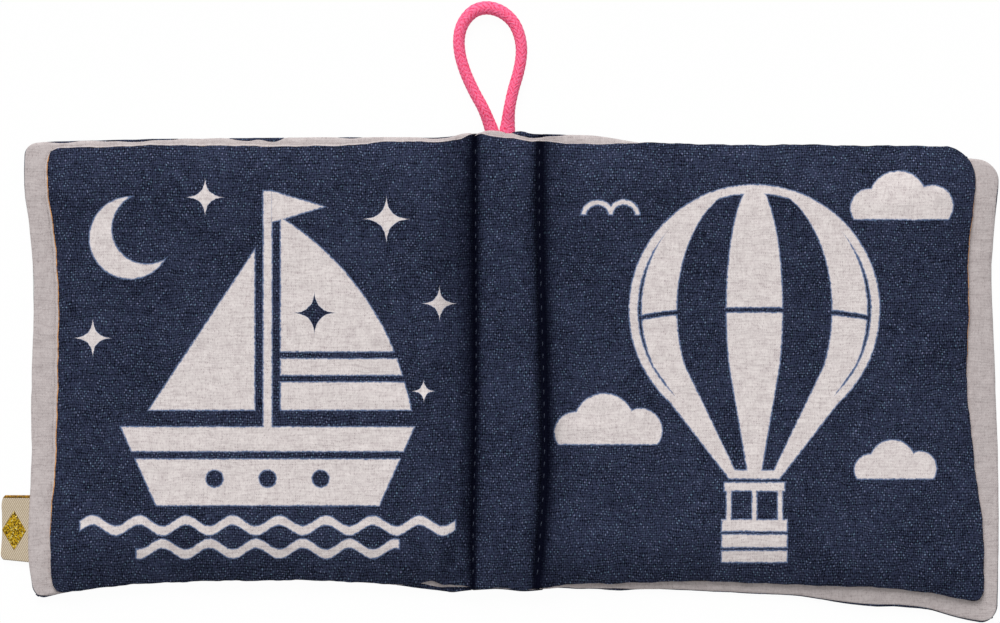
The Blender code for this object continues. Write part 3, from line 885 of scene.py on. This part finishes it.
def boat_print(place, x, y):
    hull = corners(place, (-43, -22), (-34, -42), (34, -42), (43, -22)) - 2.5
    hull = most(hull, 1.3 - abs(y + 28.5))
    for porthole in (-17, 0, 17):
        hull = most(hull, -disc(place, porthole, -36, 2.9))
    mast = bar(x, y, 0, 18, 1.3, 38)
    sail = most(4.2 - x, -14 - y, disc(place, -44.2, -30, 91.4))
    for band in (-4, 3.5):
        sail = most(sail, 1.2 - abs(y - band))
    sail = most(sail, -sparkle(place, 15, 17, 7.5))
    jib = corners(place, (-4.2, 37), (-38, -14), (-4.2, -14))
    pennant = corners(place, (1.2, 56), (1.2, 46), (18, 51))
    moon = most(disc(place, -44, 41, 13), -disc(place, -38.5, 44, 11.5))
    wave = (x * 0.42).math("SINE") * 1.7
    waves = least(most(abs(y + 51 - wave) - 1.4, abs(x) - 60),
                  most(abs(y + 58.5 + wave) - 1.4, abs(x) - 42))
    stars = [sparkle(place, *star) for star in (
        (-20, 54, 6.5), (38, 47, 8), (55, 20, 6), (-56, 9, 6.5), (50, -8, 4))]
    return least(hull, mast, sail, jib, pennant, moon, waves, least(*stars))


def balloon_print(place, x, y):
    envelope = least(disc(place, 0, 18, 40),
                     corners(place, (-35.8, 0), (-8, -36), (8, -36), (35.8, 0)))
    above = y.math("MAXIMUM", 0) - 18
    round_part = (40 * 40 - above * above).math("MAXIMUM", 1).math("SQRT")
    half_width = round_part * (y.math("MINIMUM", 0) * 0.02155 + 1).math("MAXIMUM", 0.15)
    turn = (x / half_width).held(-0.999, 0.999).math("ARCSINE")
    gores = -(turn * 7).math("COSINE") * half_width * turn.math("COSINE") / 7
    gores = most(gores, 0.9 - abs(y - 18 + turn * turn * 2))
    rim = abs(envelope + 1.3) - 1.3
    canopy = least(most(gores, envelope), rim)
    skirt = bar(x, y, 0, -38.6, 9.6, 1.3)
    ropes = most(least(abs(abs(x) - 8.2), abs(x)) - 0.7, abs(y + 45) - 6)
    basket = bar(x, y, 0, -56, 8.2, 4.6) - 2.2
    basket = most(basket, 0.6 - abs(abs(y + 56) - 2.6))
    clouds = least(cloud(place, y, -47, -25, 10.5), cloud(place, y, 47, 47, 10),
                   cloud(place, y, 45, -36, 8))
    wings = abs(x + 46) - 4.2
    bird = most(abs((wings * wings + (y - 48) * (y - 48)).math("SQRT") - 4.4) - 0.7, 48.5 - y)
    return least(canopy, skirt, ropes, basket, clouds, bird)


# The spots' rows and columns, their radius and the ones that are left out near a seam or a rim
SPOT_COLUMN = 22
SPOT_ROW = 19
SPOT_RADIUS = 1.7
SPOTS_FROM = 24
SPOTS_TO = 140
SPOTS_UP_TO = 60


def spot_print(place, x, y):
    """Small spots in staggered rows, whole ones only."""
    row = (y / SPOT_ROW).math("ROUND")
    across = x / SPOT_COLUMN + row * 0.5
    column = across.math("ROUND")
    gap_x = (across - column) * SPOT_COLUMN
    gap_y = y - row * SPOT_ROW
    spot_x = abs(column - row * 0.5) * SPOT_COLUMN
    spot_y = abs(row) * SPOT_ROW
    left_out = most(SPOTS_FROM - spot_x, spot_x - SPOTS_TO, spot_y - SPOTS_UP_TO)
    return most((gap_x * gap_x + gap_y * gap_y).math("SQRT") - SPOT_RADIUS, left_out)


# Each print's shape, middle and size
PRINTS = {
    "boat print": (boat_print, at_pixel(268, 366), 1.04),
    "balloon print": (balloon_print, at_pixel(754, 366), 1.04),
    "spot print": (spot_print, (0, 0), 1.0),
}
PRINT_WOBBLE = 0.55

for print_name, (shape, centre, print_scale) in PRINTS.items():
    tree, (cloth_place,), fill = group(print_name, {"Place": "Vector"}, {"Distance": "Float"})
    local = cloth_place.vector("ADD", strays(cloth_place, 0.9, 2, PRINT_WOBBLE))
    local = local.vector("SUBTRACT", (centre[0] * MILLIMETRES, centre[1] * MILLIMETRES, 0))
    local = local.vector("MULTIPLY", (1 / print_scale, 1 / print_scale, 0))
    across, up, _ = local.parts()
    fill(Distance=shape(local, across, up))

# How far apart the muslin's yarns lie across and up, and how far they stray
YARN_PITCH = (0.667, 0.885, 1)
YARN_DRIFT = 3.2
YARN_JITTER = 0.55
# The muslin's colours. A navy pair is a range, and a cream pair is (cream cloth, cream print); the
# cloth's cream is darker partly in its own colour and partly as painted shade of the covers' low
# margins.
NAVY_GROUND = (1, 3, 18), (50, 56, 80)
NAVY_CROSSINGS = (100, 128, 148), (118, 122, 154)
CREAM = (194, 185, 184), (224, 216, 214)
CREAM_PORES = (154, 143, 143), (168, 155, 157)
PRINT_HALO = (118, 140, 182)
EDGE_THREADS = (222, 160, 96)
# The near black navy that the painted seam shade darkens the cloth towards
PAINTED_SEAM_SHADE = (0, 1, 18)


def muslin_group():
    """The double gauze: a plain weave of soft yarn, with a pore or a lit crossing in each cell."""
    tree, (place, distance, edge, paleness_and_light, shade), fill = group(
        "muslin", {"Place": "Vector", "Distance": "Float", "Edge": "Float", "Paleness": "Float",
                   "Shade": "Float"},
        {"Colour": "Color", "Roughness": "Float", "Height": "Float"})
    drift, jitter = strays(place, 0.10, 2, YARN_DRIFT), strays(place, 0.75, 1, YARN_JITTER)
    cell = place.vector("ADD", drift).vector("ADD", jitter).vector("DIVIDE", YARN_PITCH)
    across, up, _ = cell.parts()
    wave_across, wave_up = (across * math.tau).wave("COSINE"), (up * math.tau).wave("COSINE")
    # Every other crossing lies over, the ones between dip under
    weave = (across * math.pi).math("COSINE") * (up * math.pi).math("COSINE")
    crossing = wave_across * wave_up * (weave * 0.34 + 0.66)
    gap = (1 - wave_across) * (1 - wave_up)
    under = (-weave).math("MAXIMUM", 0)
    whole = cell.vector("ADD", (0.5, 0.5, 0)).vector("FLOOR")
    chance = random_at(whole)
    dark = random_at(cell.vector("ADD", (9, 3, 0)).vector("FLOOR"))
    tint = random_at(whole.vector("ADD", (0.5, 7.5, 0.5)))
    patch = noise_at(place, 0.22, 2)
    yarn = (noise_at(cell.vector("MULTIPLY", (0.16, 1.0, 0)), 1.0) * 0.55
            + noise_at(cell.vector("MULTIPLY", (1.0, 0.22, 0)), 1.0) * 0.45)
    fluff = noise_at(place, 1.7)
    cloudy = noise_at(place, 0.045, 2)
    ground = ((yarn - 0.5) * 1.8 + (fluff - 0.5) * 1.2 + (cloudy - 0.5) * 0.7
              - gap * (dark + 0.15) - under * (chance * 0.8 + 0.20) * 0.48
              + crossing * 0.25 + 0.69)
    dots = chance * chance * (patch * 2.4 - 0.40).math("MAXIMUM", 0.15) + 0.05
    dots = (crossing.math("POWER", 1.3) * dots * 1.5).math("MINIMUM", 1)
    navy = dots.colours(ground.held().colours(*NAVY_GROUND), tint.colours(*NAVY_CROSSINGS))
    pore = (under * (chance * 0.7 + 0.15) * 0.30 + gap * (dark * dark * 0.7 + 0.12)
            + (0.5 - yarn) * 1.6 + (0.5 - fluff) * 0.3 + (0.5 - patch) * 0.5)
    cream = (pore * 0.9 + 0.14).held().colours(paleness_and_light.colours(*CREAM),
                                               paleness_and_light.colours(*CREAM_PORES))
    printed = (distance + (chance - 0.5) * 0.3).rises(0.22, -0.16)
    halo = (1 - abs(distance - 0.12).rises(0.05, 0.4)) * 0.5
    colour = halo.colours(printed.colours(navy, cream), PRINT_HALO)
    fringe = edge.rises(0.40, 0.14) * (noise_at(place, 0.55, 2) * 2.6 - 0.45).math("MINIMUM", 1)
    colour = fringe.math("MAXIMUM", 0).colours(colour, EDGE_THREADS)
    crinkle = (noise_at(place.vector("MULTIPLY", (0.34, 0.075, 0)), 1, 2)
               + noise_at(place.vector("MULTIPLY", (0.06, 0.24, 0)), 1, 2) * 0.8)
    # Where shade is painted into the seams, the colour darkens to a near black navy
    fill(Colour=shade.colours(PAINTED_SEAM_SHADE, colour), Roughness=crossing * 0.1 + 0.82,
         Height=crinkle * 0.42 + crossing * 0.05 + yarn * 0.10)


muslin_group()


def new_material(name):
    """A material with its shader and nothing else. Returns it, its tree and the shader."""
    made = bpy.data.materials.new(name)
    made.use_nodes = True
    return made, made.node_tree, made.node_tree.nodes["Principled BSDF"]


def own_map(tree):
    """The place on a piece's flat map."""
    made = tree.nodes.new("ShaderNodeUVMap")
    made.uv_map = "cloth"
    return Wire(tree, made.outputs[0])


def own_place(tree):
    """The place in a piece, in millimetres."""
    made = tree.nodes.new("ShaderNodeTexCoord")
    return Wire(tree, made.outputs["Object"]).vector("MULTIPLY", (MILLIMETRES,) * 3)


def own_value(tree, name):
    made = tree.nodes.new("ShaderNodeAttribute")
    made.attribute_name = name
    return Wire(tree, made.outputs["Fac"])


def dress(tree, shader, colour, roughness, height, depth, specular=0.5):
    """Gives a shader its colour and gloss, and the relief of a height that is depth metres deep."""
    for key, value in (("Base Color", colour), ("Roughness", roughness),
                       ("Specular IOR Level", specular)):
        feed(tree, shader.inputs[key], value)
    relief = tree.nodes.new("ShaderNodeBump")
    relief.inputs["Distance"].default_value = depth
    relief.inputs["Strength"].default_value = 1.0
    tree.links.new(height.socket, relief.inputs["Height"])
    tree.links.new(relief.outputs[0], shader.inputs["Normal"])


# Stands for a point far from a print's outline or a cloth's edge
FAR_MM = 9.0


def muslin_material(name, print_name=None, whole=None, fringe=False, shade=None):
    """Muslin with a print, or whole: -1 for cream and 1 for navy, with the spots in the other.

    shade is the painted seam shade: 1 for cloth in the open and 0 deep in a seam. Without it each
    point has its own.
    """
    made, tree, shader = new_material(name)
    place = own_map(tree).vector("MULTIPLY", (MILLIMETRES, MILLIMETRES, 0))
    distance = FAR_MM
    if print_name:
        distance = use_group(tree, print_name, Place=place)["Distance"]
    edge = FAR_MM
    if fringe:
        edge = (own_value(tree, "rim") * MILLIMETRES
                + (1 - own_value(tree, "fringe")) * FRINGE_LOSS_MM)
    # Whole cloths take the darker cream, which is partly painted shade
    cloth = use_group(tree, "muslin", Place=place, Distance=distance * (whole or 1), Edge=edge,
                      Paleness=0.0 if whole else 1.0,
                      Shade=own_value(tree, "shade") if shade is None else shade)
    dress(tree, shader, cloth["Colour"], cloth["Roughness"], cloth["Height"], 0.001, 0.07)
    return made


MATERIALS = {
    "left_page_face": muslin_material("boat muslin", "boat print", fringe=True),
    "right_page_face": muslin_material("balloon muslin", "balloon print", fringe=True),
    "navy": muslin_material("navy muslin", whole=1, fringe=True),
    # The seam ridges take most of the painted seam shade, and the cream cloths none
    "navy_seam_shade": muslin_material("navy muslin in painted seam shade", whole=1, shade=0.25),
    "cream": muslin_material("cream muslin", whole=-1, shade=1.0),
    "cream_spotted": muslin_material("cream spotted muslin", "spot print", whole=-1, shade=1.0),
    "navy_spotted": muslin_material("navy spotted muslin", "spot print", whole=1),
}

for pad_name in PADS:
    page = "page" in pad_name
    names = {1: pad_name + ("_face" if page else "_lining"),
             -1: pad_name + ("_back" if page else "_outside")}
    for up_side, node in names.items():
        piece = cloth_piece(node + "_cloth", pad_name, up_side)
        thicken(piece)
        piece.data.materials.clear()
        if node in MATERIALS:
            cloth = node
        elif page == (up_side > 0):
            cloth = "navy_spotted" if node.endswith("outside") else "navy"
        else:
            cloth = "cream" if "spine" in node else "cream_spotted"
        piece.data.materials.append(MATERIALS[cloth])
        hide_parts(node)
        side = PADS[pad_name].side
        if side and page:
            side * BLEND_START
            side * BLEND_END
            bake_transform(piece)
        else:
            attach(piece, pad_name if side else "spine")

# Cord loop

CORD = 0.0039
CORD_AROUND = 32
CORD_STEP = 0.00022
CORD_REST = 0.00200
CORD_END_HEIGHT = 0.00135
CORD_END_PIXEL = 121
CORD_ROUTE = [
    (492.8, 139), (492.4, 134), (491.5, 129.5), (489.6, 124), (484.0, 110), (473.4, 90),
    (464.6, 70), (459.9, 53), (458.9, 40), (461.0, 28), (466.4, 18), (475.0, 10.4), (486.0, 7.6),
    (496.6, 9.4), (506.0, 14.6), (513.6, 22.5), (519.0, 34), (521.4, 47), (520.8, 60), (518.4, 72),
    (513.3, 90), (509.2, 110), (508.0, 122), (507.4, 129), (507.2, 134), (507.2, 139)]
# Its pressed ends in the seam, and its broader bend
CORD_PRESSED_HEIGHT = 0.0014
CORD_LEFT_END_WIDTH = 1.34
CORD_RIGHT_END_WIDTH = 1.62
CORD_PRESS_LENGTH = 0.013
CORD_BEND_WIDTH = 1.17
CORD_BEND_REACH = 0.011
BRAID_STRANDS = 8
BRAID_PITCH = 0.0017
BRAID_RELIEF = 0.00012
PRESSED_RELIEF_LOSS = 0.6
# The braid's deep and pale pinks. Between the strands the deep one stands partly for painted shade,
# and on their crowns the pale one for painted highlight.
CORD_COLOURS = (238, 0, 70), (255, 122, 162)


def path_along(points, step):
    """Evenly spaced points on a smooth curve through the given ones, and its length."""
    points = np.array(points)
    chords = np.concatenate([[0], np.cumsum(np.linalg.norm(np.diff(points, axis=0), axis=1))])
    fine = np.linspace(0, chords[-1], 4000)
    lines = [smooth_line(list(zip(chords, points[:, axis]))) for axis in range(3)]
    dense = np.stack([line(fine) for line in lines], -1)
    lengths = np.concatenate([[0], np.cumsum(np.linalg.norm(np.diff(dense, axis=0), axis=1))])
    wanted = np.linspace(0, lengths[-1], round(lengths[-1] / step) + 1)
    even = np.stack([np.interp(wanted, lengths, dense[:, axis]) for axis in range(3)], -1)
    return even, lengths[-1]


route = [(*at_pixel(*pixel), CORD_REST) for pixel in CORD_ROUTE]
for number, pixel in enumerate(CORD_ROUTE):
    if pixel[1] > CORD_END_PIXEL:
        route[number] = (*at_pixel(*pixel), CORD_END_HEIGHT)
cord_path, cord_length = path_along(route, CORD_STEP)
travelled = np.linspace(0, cord_length, len(cord_path))
ahead = np.gradient(cord_path, axis=0)
ahead /= np.linalg.norm(ahead, axis=1)[:, None]
sideways = np.cross(ahead, (0, 0, 1))
sideways /= np.linalg.norm(sideways, axis=1)[:, None]
upwards = np.cross(sideways, ahead)
angle = np.linspace(0, 2 * math.pi, CORD_AROUND + 1)
# Two sets of strands go round opposite ways, over and under one another
turns = travelled[:, None] / BRAID_PITCH
lay_left = BRAID_STRANDS * angle[None, :] / (2 * math.pi) + turns
lay_right = BRAID_STRANDS * angle[None, :] / (2 * math.pi) - turns
over = np.sin(math.pi / 2 * (lay_left + lay_right)) * 0.5 + 0.5
strands = (over * np.abs(np.sin(math.pi * lay_left)) ** 0.7
           + (1 - over) * np.abs(np.sin(math.pi * lay_right)) ** 0.7)
from_end = np.minimum(travelled, cord_length - travelled)[:, None]
pressed = 1 - swell(from_end, CORD_PRESS_LENGTH)
radius = CORD / 2 - BRAID_RELIEF * (1 - strands) * (1 - PRESSED_RELIEF_LOSS * pressed)
flatness = between(1, CORD_PRESSED_HEIGHT / CORD, pressed)
bend = bump(travelled[:, None] - cord_length / 2, CORD_BEND_REACH)
end_width = np.where(travelled < cord_length / 2, CORD_LEFT_END_WIDTH, CORD_RIGHT_END_WIDTH)
broadness = between(1, end_width[:, None], pressed) + (CORD_BEND_WIDTH - 1) * bend
ring = (cord_path[:, None, :]
        + sideways[:, None, :] * (radius * broadness * np.cos(angle))[..., None]
        + upwards[:, None, :] * (radius * flatness * np.sin(angle))[..., None])
ring[..., 2] = np.maximum(ring[..., 2], FLOOR_GAP)
ring[:, -1] = ring[:, 0]
cord_flat = np.stack(np.broadcast_arrays(travelled[:, None], angle[None, :] / (2 * math.pi)), -1)
cord, _, _ = grid_piece("pink_cord", ring, cord_flat, closed_around=True)
made, tree, shader = new_material("pink braided cord")
along, around, _ = own_map(tree).parts()
stray = noise_at(joined_vector(tree, along * 330, around * 7), 1, 2, vector=True)
stray_along, stray_around, _ = stray.parts()
along = along + (stray_along - 0.5) * BRAID_PITCH * 1.1
around = around + (stray_around - 0.5) * 0.10
lay_left = around * BRAID_STRANDS + along / BRAID_PITCH
lay_right = around * BRAID_STRANDS - along / BRAID_PITCH
over = ((lay_left + lay_right) * (math.pi / 2)).wave()
bodies = [abs((lay * math.pi).math("SINE")).math("POWER", 0.6) for lay in (lay_left, lay_right)]
threads = [(lay * math.pi * 3).wave() for lay in (lay_left, lay_right)]
body = over * bodies[0] + (1 - over) * bodies[1]
thread = over * threads[0] + (1 - over) * threads[1]
bead = noise_at(joined_vector(tree, along * 1300, around * 20), 1, 2)
# The pink is painted darker between the strands and lighter on their crowns, as shade and
# highlight, with random flecks of its own
tone_light_and_shade = body * 0.55 + thread * 0.30 + (bead - 0.5) * 1.9
dress(tree, shader, tone_light_and_shade.rises(-0.25, 0.95).colours(*CORD_COLOURS), 0.72,
      body * 0.5 + thread * 0.3 + bead * 0.5, 0.0002, 0.2)
cord.data.materials.append(made)
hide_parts("cord_loop")
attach(cord, "spine")

# Ribbon tab, folded in two

RIBBON_CLOTH = 0.00028
RIBBON_TOP_PIXEL = 495.4
RIBBON_BOTTOM_PIXEL = 560.0
RIBBON_ROOT_PIXEL = 36.0
RIBBON_SPREAD = 0.0011
RIBBON_FOLD_REACH = smooth_line([(495.4, 4.6), (497.5, 2.6), (501, 1.4), (515, 1.2), (535, 1.3),
                                 (548, 0.5), (555, 0.1), (557.5, 0.6), (560, 2.6)])
RIBBON_ROOT_HEIGHT = 0.0015
RIBBON_FOLD_HEIGHT = 0.00092
RIBBON_HALF_GAP = 0.00036
RIBBON_ACROSS = 48
RIBBON_ALONG = 22
RIBBON_FOLD_STEPS = 8
# The printed diamond, in millimetres from the root and across, on the row of this pixel
DIAMOND_ALONG = 7.5
DIAMOND_PIXEL = 530
DIAMOND_HALF_LENGTH = 4.0
DIAMOND_HALF_WIDTH = 6.4

places, flats = [], []
for pixel in np.linspace(RIBBON_TOP_PIXEL, RIBBON_BOTTOM_PIXEL, RIBBON_ACROSS):
    root_x, y = at_pixel(RIBBON_ROOT_PIXEL, pixel)
    spread = (pixel - RIBBON_TOP_PIXEL) / (RIBBON_BOTTOM_PIXEL - RIBBON_TOP_PIXEL) * RIBBON_SPREAD
    fold_x = at_pixel(float(RIBBON_FOLD_REACH(pixel)), pixel)[0]
    straight = root_x - fold_x - RIBBON_HALF_GAP
    fold_length = RIBBON_HALF_GAP * math.pi
    # From the root along the upper layer, round the fold and back along the lower layer
    shares = np.linspace(0, 1, RIBBON_ALONG)
    heights = between(RIBBON_ROOT_HEIGHT, RIBBON_FOLD_HEIGHT, shares ** 1.5)
    rows_here = [(root_x - straight * share, height + RIBBON_HALF_GAP, straight * share)
                 for share, height in zip(shares, heights)]
    for turn in np.linspace(0, math.pi, RIBBON_FOLD_STEPS + 2)[1:-1]:
        rows_here.append((fold_x + RIBBON_HALF_GAP * (1 - math.sin(turn)),
                          RIBBON_FOLD_HEIGHT + RIBBON_HALF_GAP * math.cos(turn),
                          straight + RIBBON_HALF_GAP * turn))
    rows_here += [(root_x - straight * share, height - RIBBON_HALF_GAP,
                   straight * (2 - share) + fold_length)
                  for share, height in zip(shares[::-1], heights[::-1])]
    places.append([(x, y - spread * (x - fold_x) / (root_x - fold_x), z) for x, z, _ in rows_here])
    flats.append([(along, y) for _, _, along in rows_here])
ribbon, _, _ = grid_piece("folded_ribbon", np.array(places), np.array(flats))
ribbon.data.flip_normals()
thicken(ribbon, RIBBON_CLOTH)
made, tree, shader = new_material("gold printed twill ribbon")
along, across, _ = own_map(tree).vector("MULTIPLY", (MILLIMETRES, MILLIMETRES, 0)).parts()
twill = ((along + across * 0.55) * 9.5).wave() * ((across * 14.0).math("SINE") * 0.25 + 0.75)
weave = noise_at(joined_vector(tree, along * 1.2, across * 5), 1, 2)
cotton = (twill * 0.7 + weave * 0.4).rises(0.1, 1.1).colours((160, 141, 114), (232, 220, 198))
diamond = (abs(along - DIAMOND_ALONG) / DIAMOND_HALF_LENGTH
           + abs(across - at_pixel(0, DIAMOND_PIXEL)[1] * MILLIMETRES) / DIAMOND_HALF_WIDTH - 1)
flecks = tree.nodes.new("ShaderNodeTexVoronoi")
flecks.inputs["Scale"].default_value = 1.0
tree.links.new(joined_vector(tree, along * 3.2, across * 3.2).socket, flecks.inputs["Vector"])
fleck = Wire(tree, flecks.outputs["Color"]).parts()[0]
gold_shade = fleck.rises(0.05, 0.75).colours((74, 48, 0), (222, 178, 8))
gold_shade = fleck.rises(0.86, 0.95).colours(gold_shade, (250, 236, 150))
selvedge = (at_pixel(0, RIBBON_TOP_PIXEL)[1] * MILLIMETRES - across).rises(0.96, 0.80)
gold_shade = selvedge.colours(gold_shade, fleck.colours((60, 36, 4), (176, 128, 16)))
gold = most(diamond.rises(0.04, -0.02), selvedge)
dress(tree, shader, gold.colours(cotton, gold_shade), 0.8 - gold * 0.42,
      twill * 0.25 + gold * 0.5 + gold * fleck * 0.5, 0.00018)
feed(tree, shader.inputs["Metallic"], gold * 0.55)
ribbon.data.materials.append(made)
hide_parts("ribbon_tab")
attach(ribbon, "left_cover")

# Seam stitches

STITCH_LIFT = 0.00006
STITCH_DIP = 0.0006
STITCH_TOP_PIXEL = 142
STITCH_BOTTOM_PIXEL = 583
# How unlike the stitches are in length and slant
STITCH_UNEVEN = 0.10
STITCH_SLANT = 0.00006
STITCH_SLANT_UNEVEN = 0.00010
# A stitch's line, as shares of its half length and of its dip
STITCH_SHARES = ((-1.12, 1), (-0.98, 0.35), (-0.75, 0.04), (0, -0.06), (0.75, 0.04), (0.98, 0.35),
                 (1.12, 1))


def stitch_row(name, seam, side):
    """One row of stitches: each dips into the seam, runs along it and dips again."""
    top, bottom = at_pixel(0, STITCH_TOP_PIXEL)[1], at_pixel(0, STITCH_BOTTOM_PIXEL)[1]
    first = math.ceil(bottom / STITCH_PITCH - 0.5)
    last = math.floor(top / STITCH_PITCH - 0.5)
    bpy.ops.object.select_all(action="DESELECT")
    bpy.ops.curve.primitive_bezier_curve_add()
    row = bpy.context.object
    row.name = row.data.name = name
    row.data.splines.clear()
    row.data.dimensions = "3D"
    row.data.bevel_depth = THREAD / 2
    row.data.bevel_resolution = 3
    row.data.use_fill_caps = True
    for number in range(first, last + 1):
        middle = (number + 0.5) * STITCH_PITCH
        half = STITCH_LENGTH / 2 * (1 + STITCH_UNEVEN * noise.noise((number * 1.7, side, 0)))
        slant = STITCH_SLANT_UNEVEN * noise.noise((number * 0.9, side, 5)) + STITCH_SLANT
        level = AXIS_HEIGHT + side * (SEAM_HALF + THREAD / 2 + STITCH_LIFT - PUCKER_DEPTH)
        points = []
        for share, sink in STITCH_SHARES:
            y = middle + half * share
            points.append((float(seam(y)) + slant * share, y, level - side * STITCH_DIP * sink))
        spline = row.data.splines.new("POLY")
        spline.points.add(len(points) - 1)
        for point, place in zip(spline.points, points):
            point.co = (*place, 1)
    bpy.ops.object.convert(target="MESH")
    row = bpy.context.object
    bpy.ops.object.shade_smooth()
    return row


made, tree, shader = new_material("navy sewing thread")
thread_place = own_place(tree)
thread_x, thread_y, _ = thread_place.parts()
twist = (thread_y * 12 + thread_x * 9).wave()
thread_tone = twist * 0.7 + noise_at(thread_place, 3) * 0.5
# The thread's navy is darkened partly as painted shade of the grooves that the stitches lie in
dress(tree, shader, thread_tone.colours((8, 12, 28), (48, 58, 80)), 0.55, twist, 0.00005)
for side_name, seam in SEAMS.items():
    for level_name, side in (("upper", 1), ("lower", -1)):
        row = stitch_row(f"{side_name}_seam_{level_name}_stitches", seam, side)
        row.data.materials.append(made)
        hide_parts(f"{side_name}_seam_{level_name}_thread")
        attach(row, "spine")

# Seam ridges, wadding and film, which the cloths hide

RIDGE_HALF_WIDTH = 0.00105
RIDGE_HALF_HEIGHT = 0.00028
# Each ridge's foot and head, as pixels
RIDGE_PIXELS = {"left": (589.9, 133.6), "right": (589.2, 144.5)}
RIDGE_UP = 60
RIDGE_AROUND = 17
RIDGE_MAP_WIDTH = 0.0003

for side_name, seam in SEAMS.items():
    foot_y, head_y = (at_pixel(0, pixel)[1] for pixel in RIDGE_PIXELS[side_name])
    up, turn = np.meshgrid(np.linspace(foot_y, head_y, RIDGE_UP),
                           np.linspace(0, 2 * math.pi, RIDGE_AROUND), indexing="ij")
    ridge_places = np.stack([seam(up) + RIDGE_HALF_WIDTH * np.cos(turn), up,
                             AXIS_HEIGHT + RIDGE_HALF_HEIGHT * np.sin(turn)], -1)
    ridge_places[:, -1] = ridge_places[:, 0]
    ridge_flat = np.stack([seam(up) + turn * RIDGE_MAP_WIDTH, up], -1)
    ridge, _, _ = grid_piece(side_name + "_seam_ridge", ridge_places, ridge_flat, True)
    ridge.data.materials.append(MATERIALS["navy_seam_shade"])
    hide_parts(side_name + "_hinge_band")
    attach(ridge, "spine")

WADDING, tree, shader = new_material("polyester wadding")
fluff = noise_at(own_place(tree), 0.9, 4, 0.7)
dress(tree, shader, fluff.colours((206, 206, 204), (246, 246, 244)), 0.95, fluff, 0.0006)
WADDING_EDGE = 0.0035
WADDING_STEP = 0.005
WADDING_TOP_ROOM = 0.0010
WADDING_FILM_ROOM = 0.0013


def wadding_piece(name, pad_name):
    """A closed piece that fills the room between a pad's two cloths."""
    pad = PADS[pad_name]
    edge = [WADDING_EDGE, WADDING_EDGE * 2]
    columns = lines_between(edge, edge, length_across(pad), WADDING_STEP)
    rows = lines_between(edge, edge, PAD_HEIGHT, WADDING_STEP)
    top = cloth_sheet(pad, 1, columns, rows).place
    low = cloth_sheet(pad, -1, columns, rows).place
    low_room = WADDING_TOP_ROOM if pad.layer > 0 else WADDING_FILM_ROOM
    middle = (top[..., 2] + low[..., 2]) / 2
    top[..., 2] = np.maximum(top[..., 2] - WADDING_TOP_ROOM, middle + THREAD)
    low[..., 2] = np.minimum(low[..., 2] + low_room, middle)
    ring = np.concatenate([top, low[:, ::-1], top[:, :1]], axis=1)
    piece, _, _ = grid_piece(name, ring, ring[..., :2], closed_around=True)
    piece.data.materials.append(WADDING)
    return piece


for pad_name, pad in PADS.items():
    filling = wadding_piece(pad_name + "_filling", pad_name)
    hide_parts(pad_name + "_wadding")
    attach(filling, "spine" if pad.side == 0 else pad_name)

made, tree, shader = new_material("crackle film")
creases = noise_at(own_place(tree), 0.12, 3, 0.6)
dress(tree, shader, creases.colours((188, 192, 196), (226, 230, 232)), creases * 0.2 + 0.22,
      creases, 0.001)
for side_name in SEAMS:
    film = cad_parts[side_name + "_cover_crackle_film"]
    film.data.materials.clear()
    film.data.materials.append(made)

# Camera and light

# How far the camera is from the open pages, and how high these lie
CAMERA_DISTANCE = 3.0
PAGES_HEIGHT = 0.005
SENSOR_WIDTH = 36
# How bright the floor looks to the camera, and the light of the room and the lamp
FLOOR_GLOW = 0.965
ROOM_LIGHT = 0.49
LAMP_DIRECTION = (0.26, -1.2, -1.0)
LAMP_ANGLE = math.radians(36)
LAMP_LIGHT = 2.55

camera = bpy.data.objects.new("camera", bpy.data.cameras.new("camera"))
bpy.context.scene.collection.objects.link(camera)
camera.location = (*at_pixel(*PHOTO_CENTRE_PIXEL), CAMERA_DISTANCE + PAGES_HEIGHT)
camera.data.sensor_width = SENSOR_WIDTH
camera.data.lens = SENSOR_WIDTH * CAMERA_DISTANCE / PHOTO_WIDTH
camera.data.clip_end = 10
bpy.context.scene.camera = camera

bpy.ops.mesh.primitive_plane_add(size=6, location=(0, 0, 0))
floor = bpy.context.object
floor.name = "floor"
made, tree, shader = new_material("white table")
shader.inputs["Base Color"].default_value = (0.9, 0.9, 0.9, 1)
shader.inputs["Roughness"].default_value = 1
glow = tree.nodes.new("ShaderNodeEmission")
glow.inputs["Strength"].default_value = 1
blend = tree.nodes.new("ShaderNodeMixShader")
rays = tree.nodes.new("ShaderNodeLightPath")
seen = Wire(tree, rays.outputs["Is Camera Ray"])
for kind in ("Is Glossy Ray", "Is Transmission Ray"):
    seen = most(seen, Wire(tree, rays.outputs[kind]))
feed(tree, blend.inputs[0], seen * FLOOR_GLOW)
tree.links.new(shader.outputs[0], blend.inputs[1])
tree.links.new(glow.outputs[0], blend.inputs[2])
tree.links.new(blend.outputs[0], tree.nodes["Material Output"].inputs[0])
floor.data.materials.append(made)

world = bpy.data.worlds.new("studio")
bpy.context.scene.world = world
world.use_nodes = True
world.node_tree.nodes["Background"].inputs["Color"].default_value = (1, 1, 1, 1)
world.node_tree.nodes["Background"].inputs["Strength"].default_value = ROOM_LIGHT
lamp = bpy.data.objects.new("key", bpy.data.lights.new("key", "SUN"))
bpy.context.scene.collection.objects.link(lamp)
lamp.rotation_euler = Vector(LAMP_DIRECTION).to_track_quat("-Z", "Y").to_euler()
lamp.data.angle = LAMP_ANGLE
lamp.data.energy = LAMP_LIGHT
bpy.context.scene.view_settings.view_transform = "Standard"
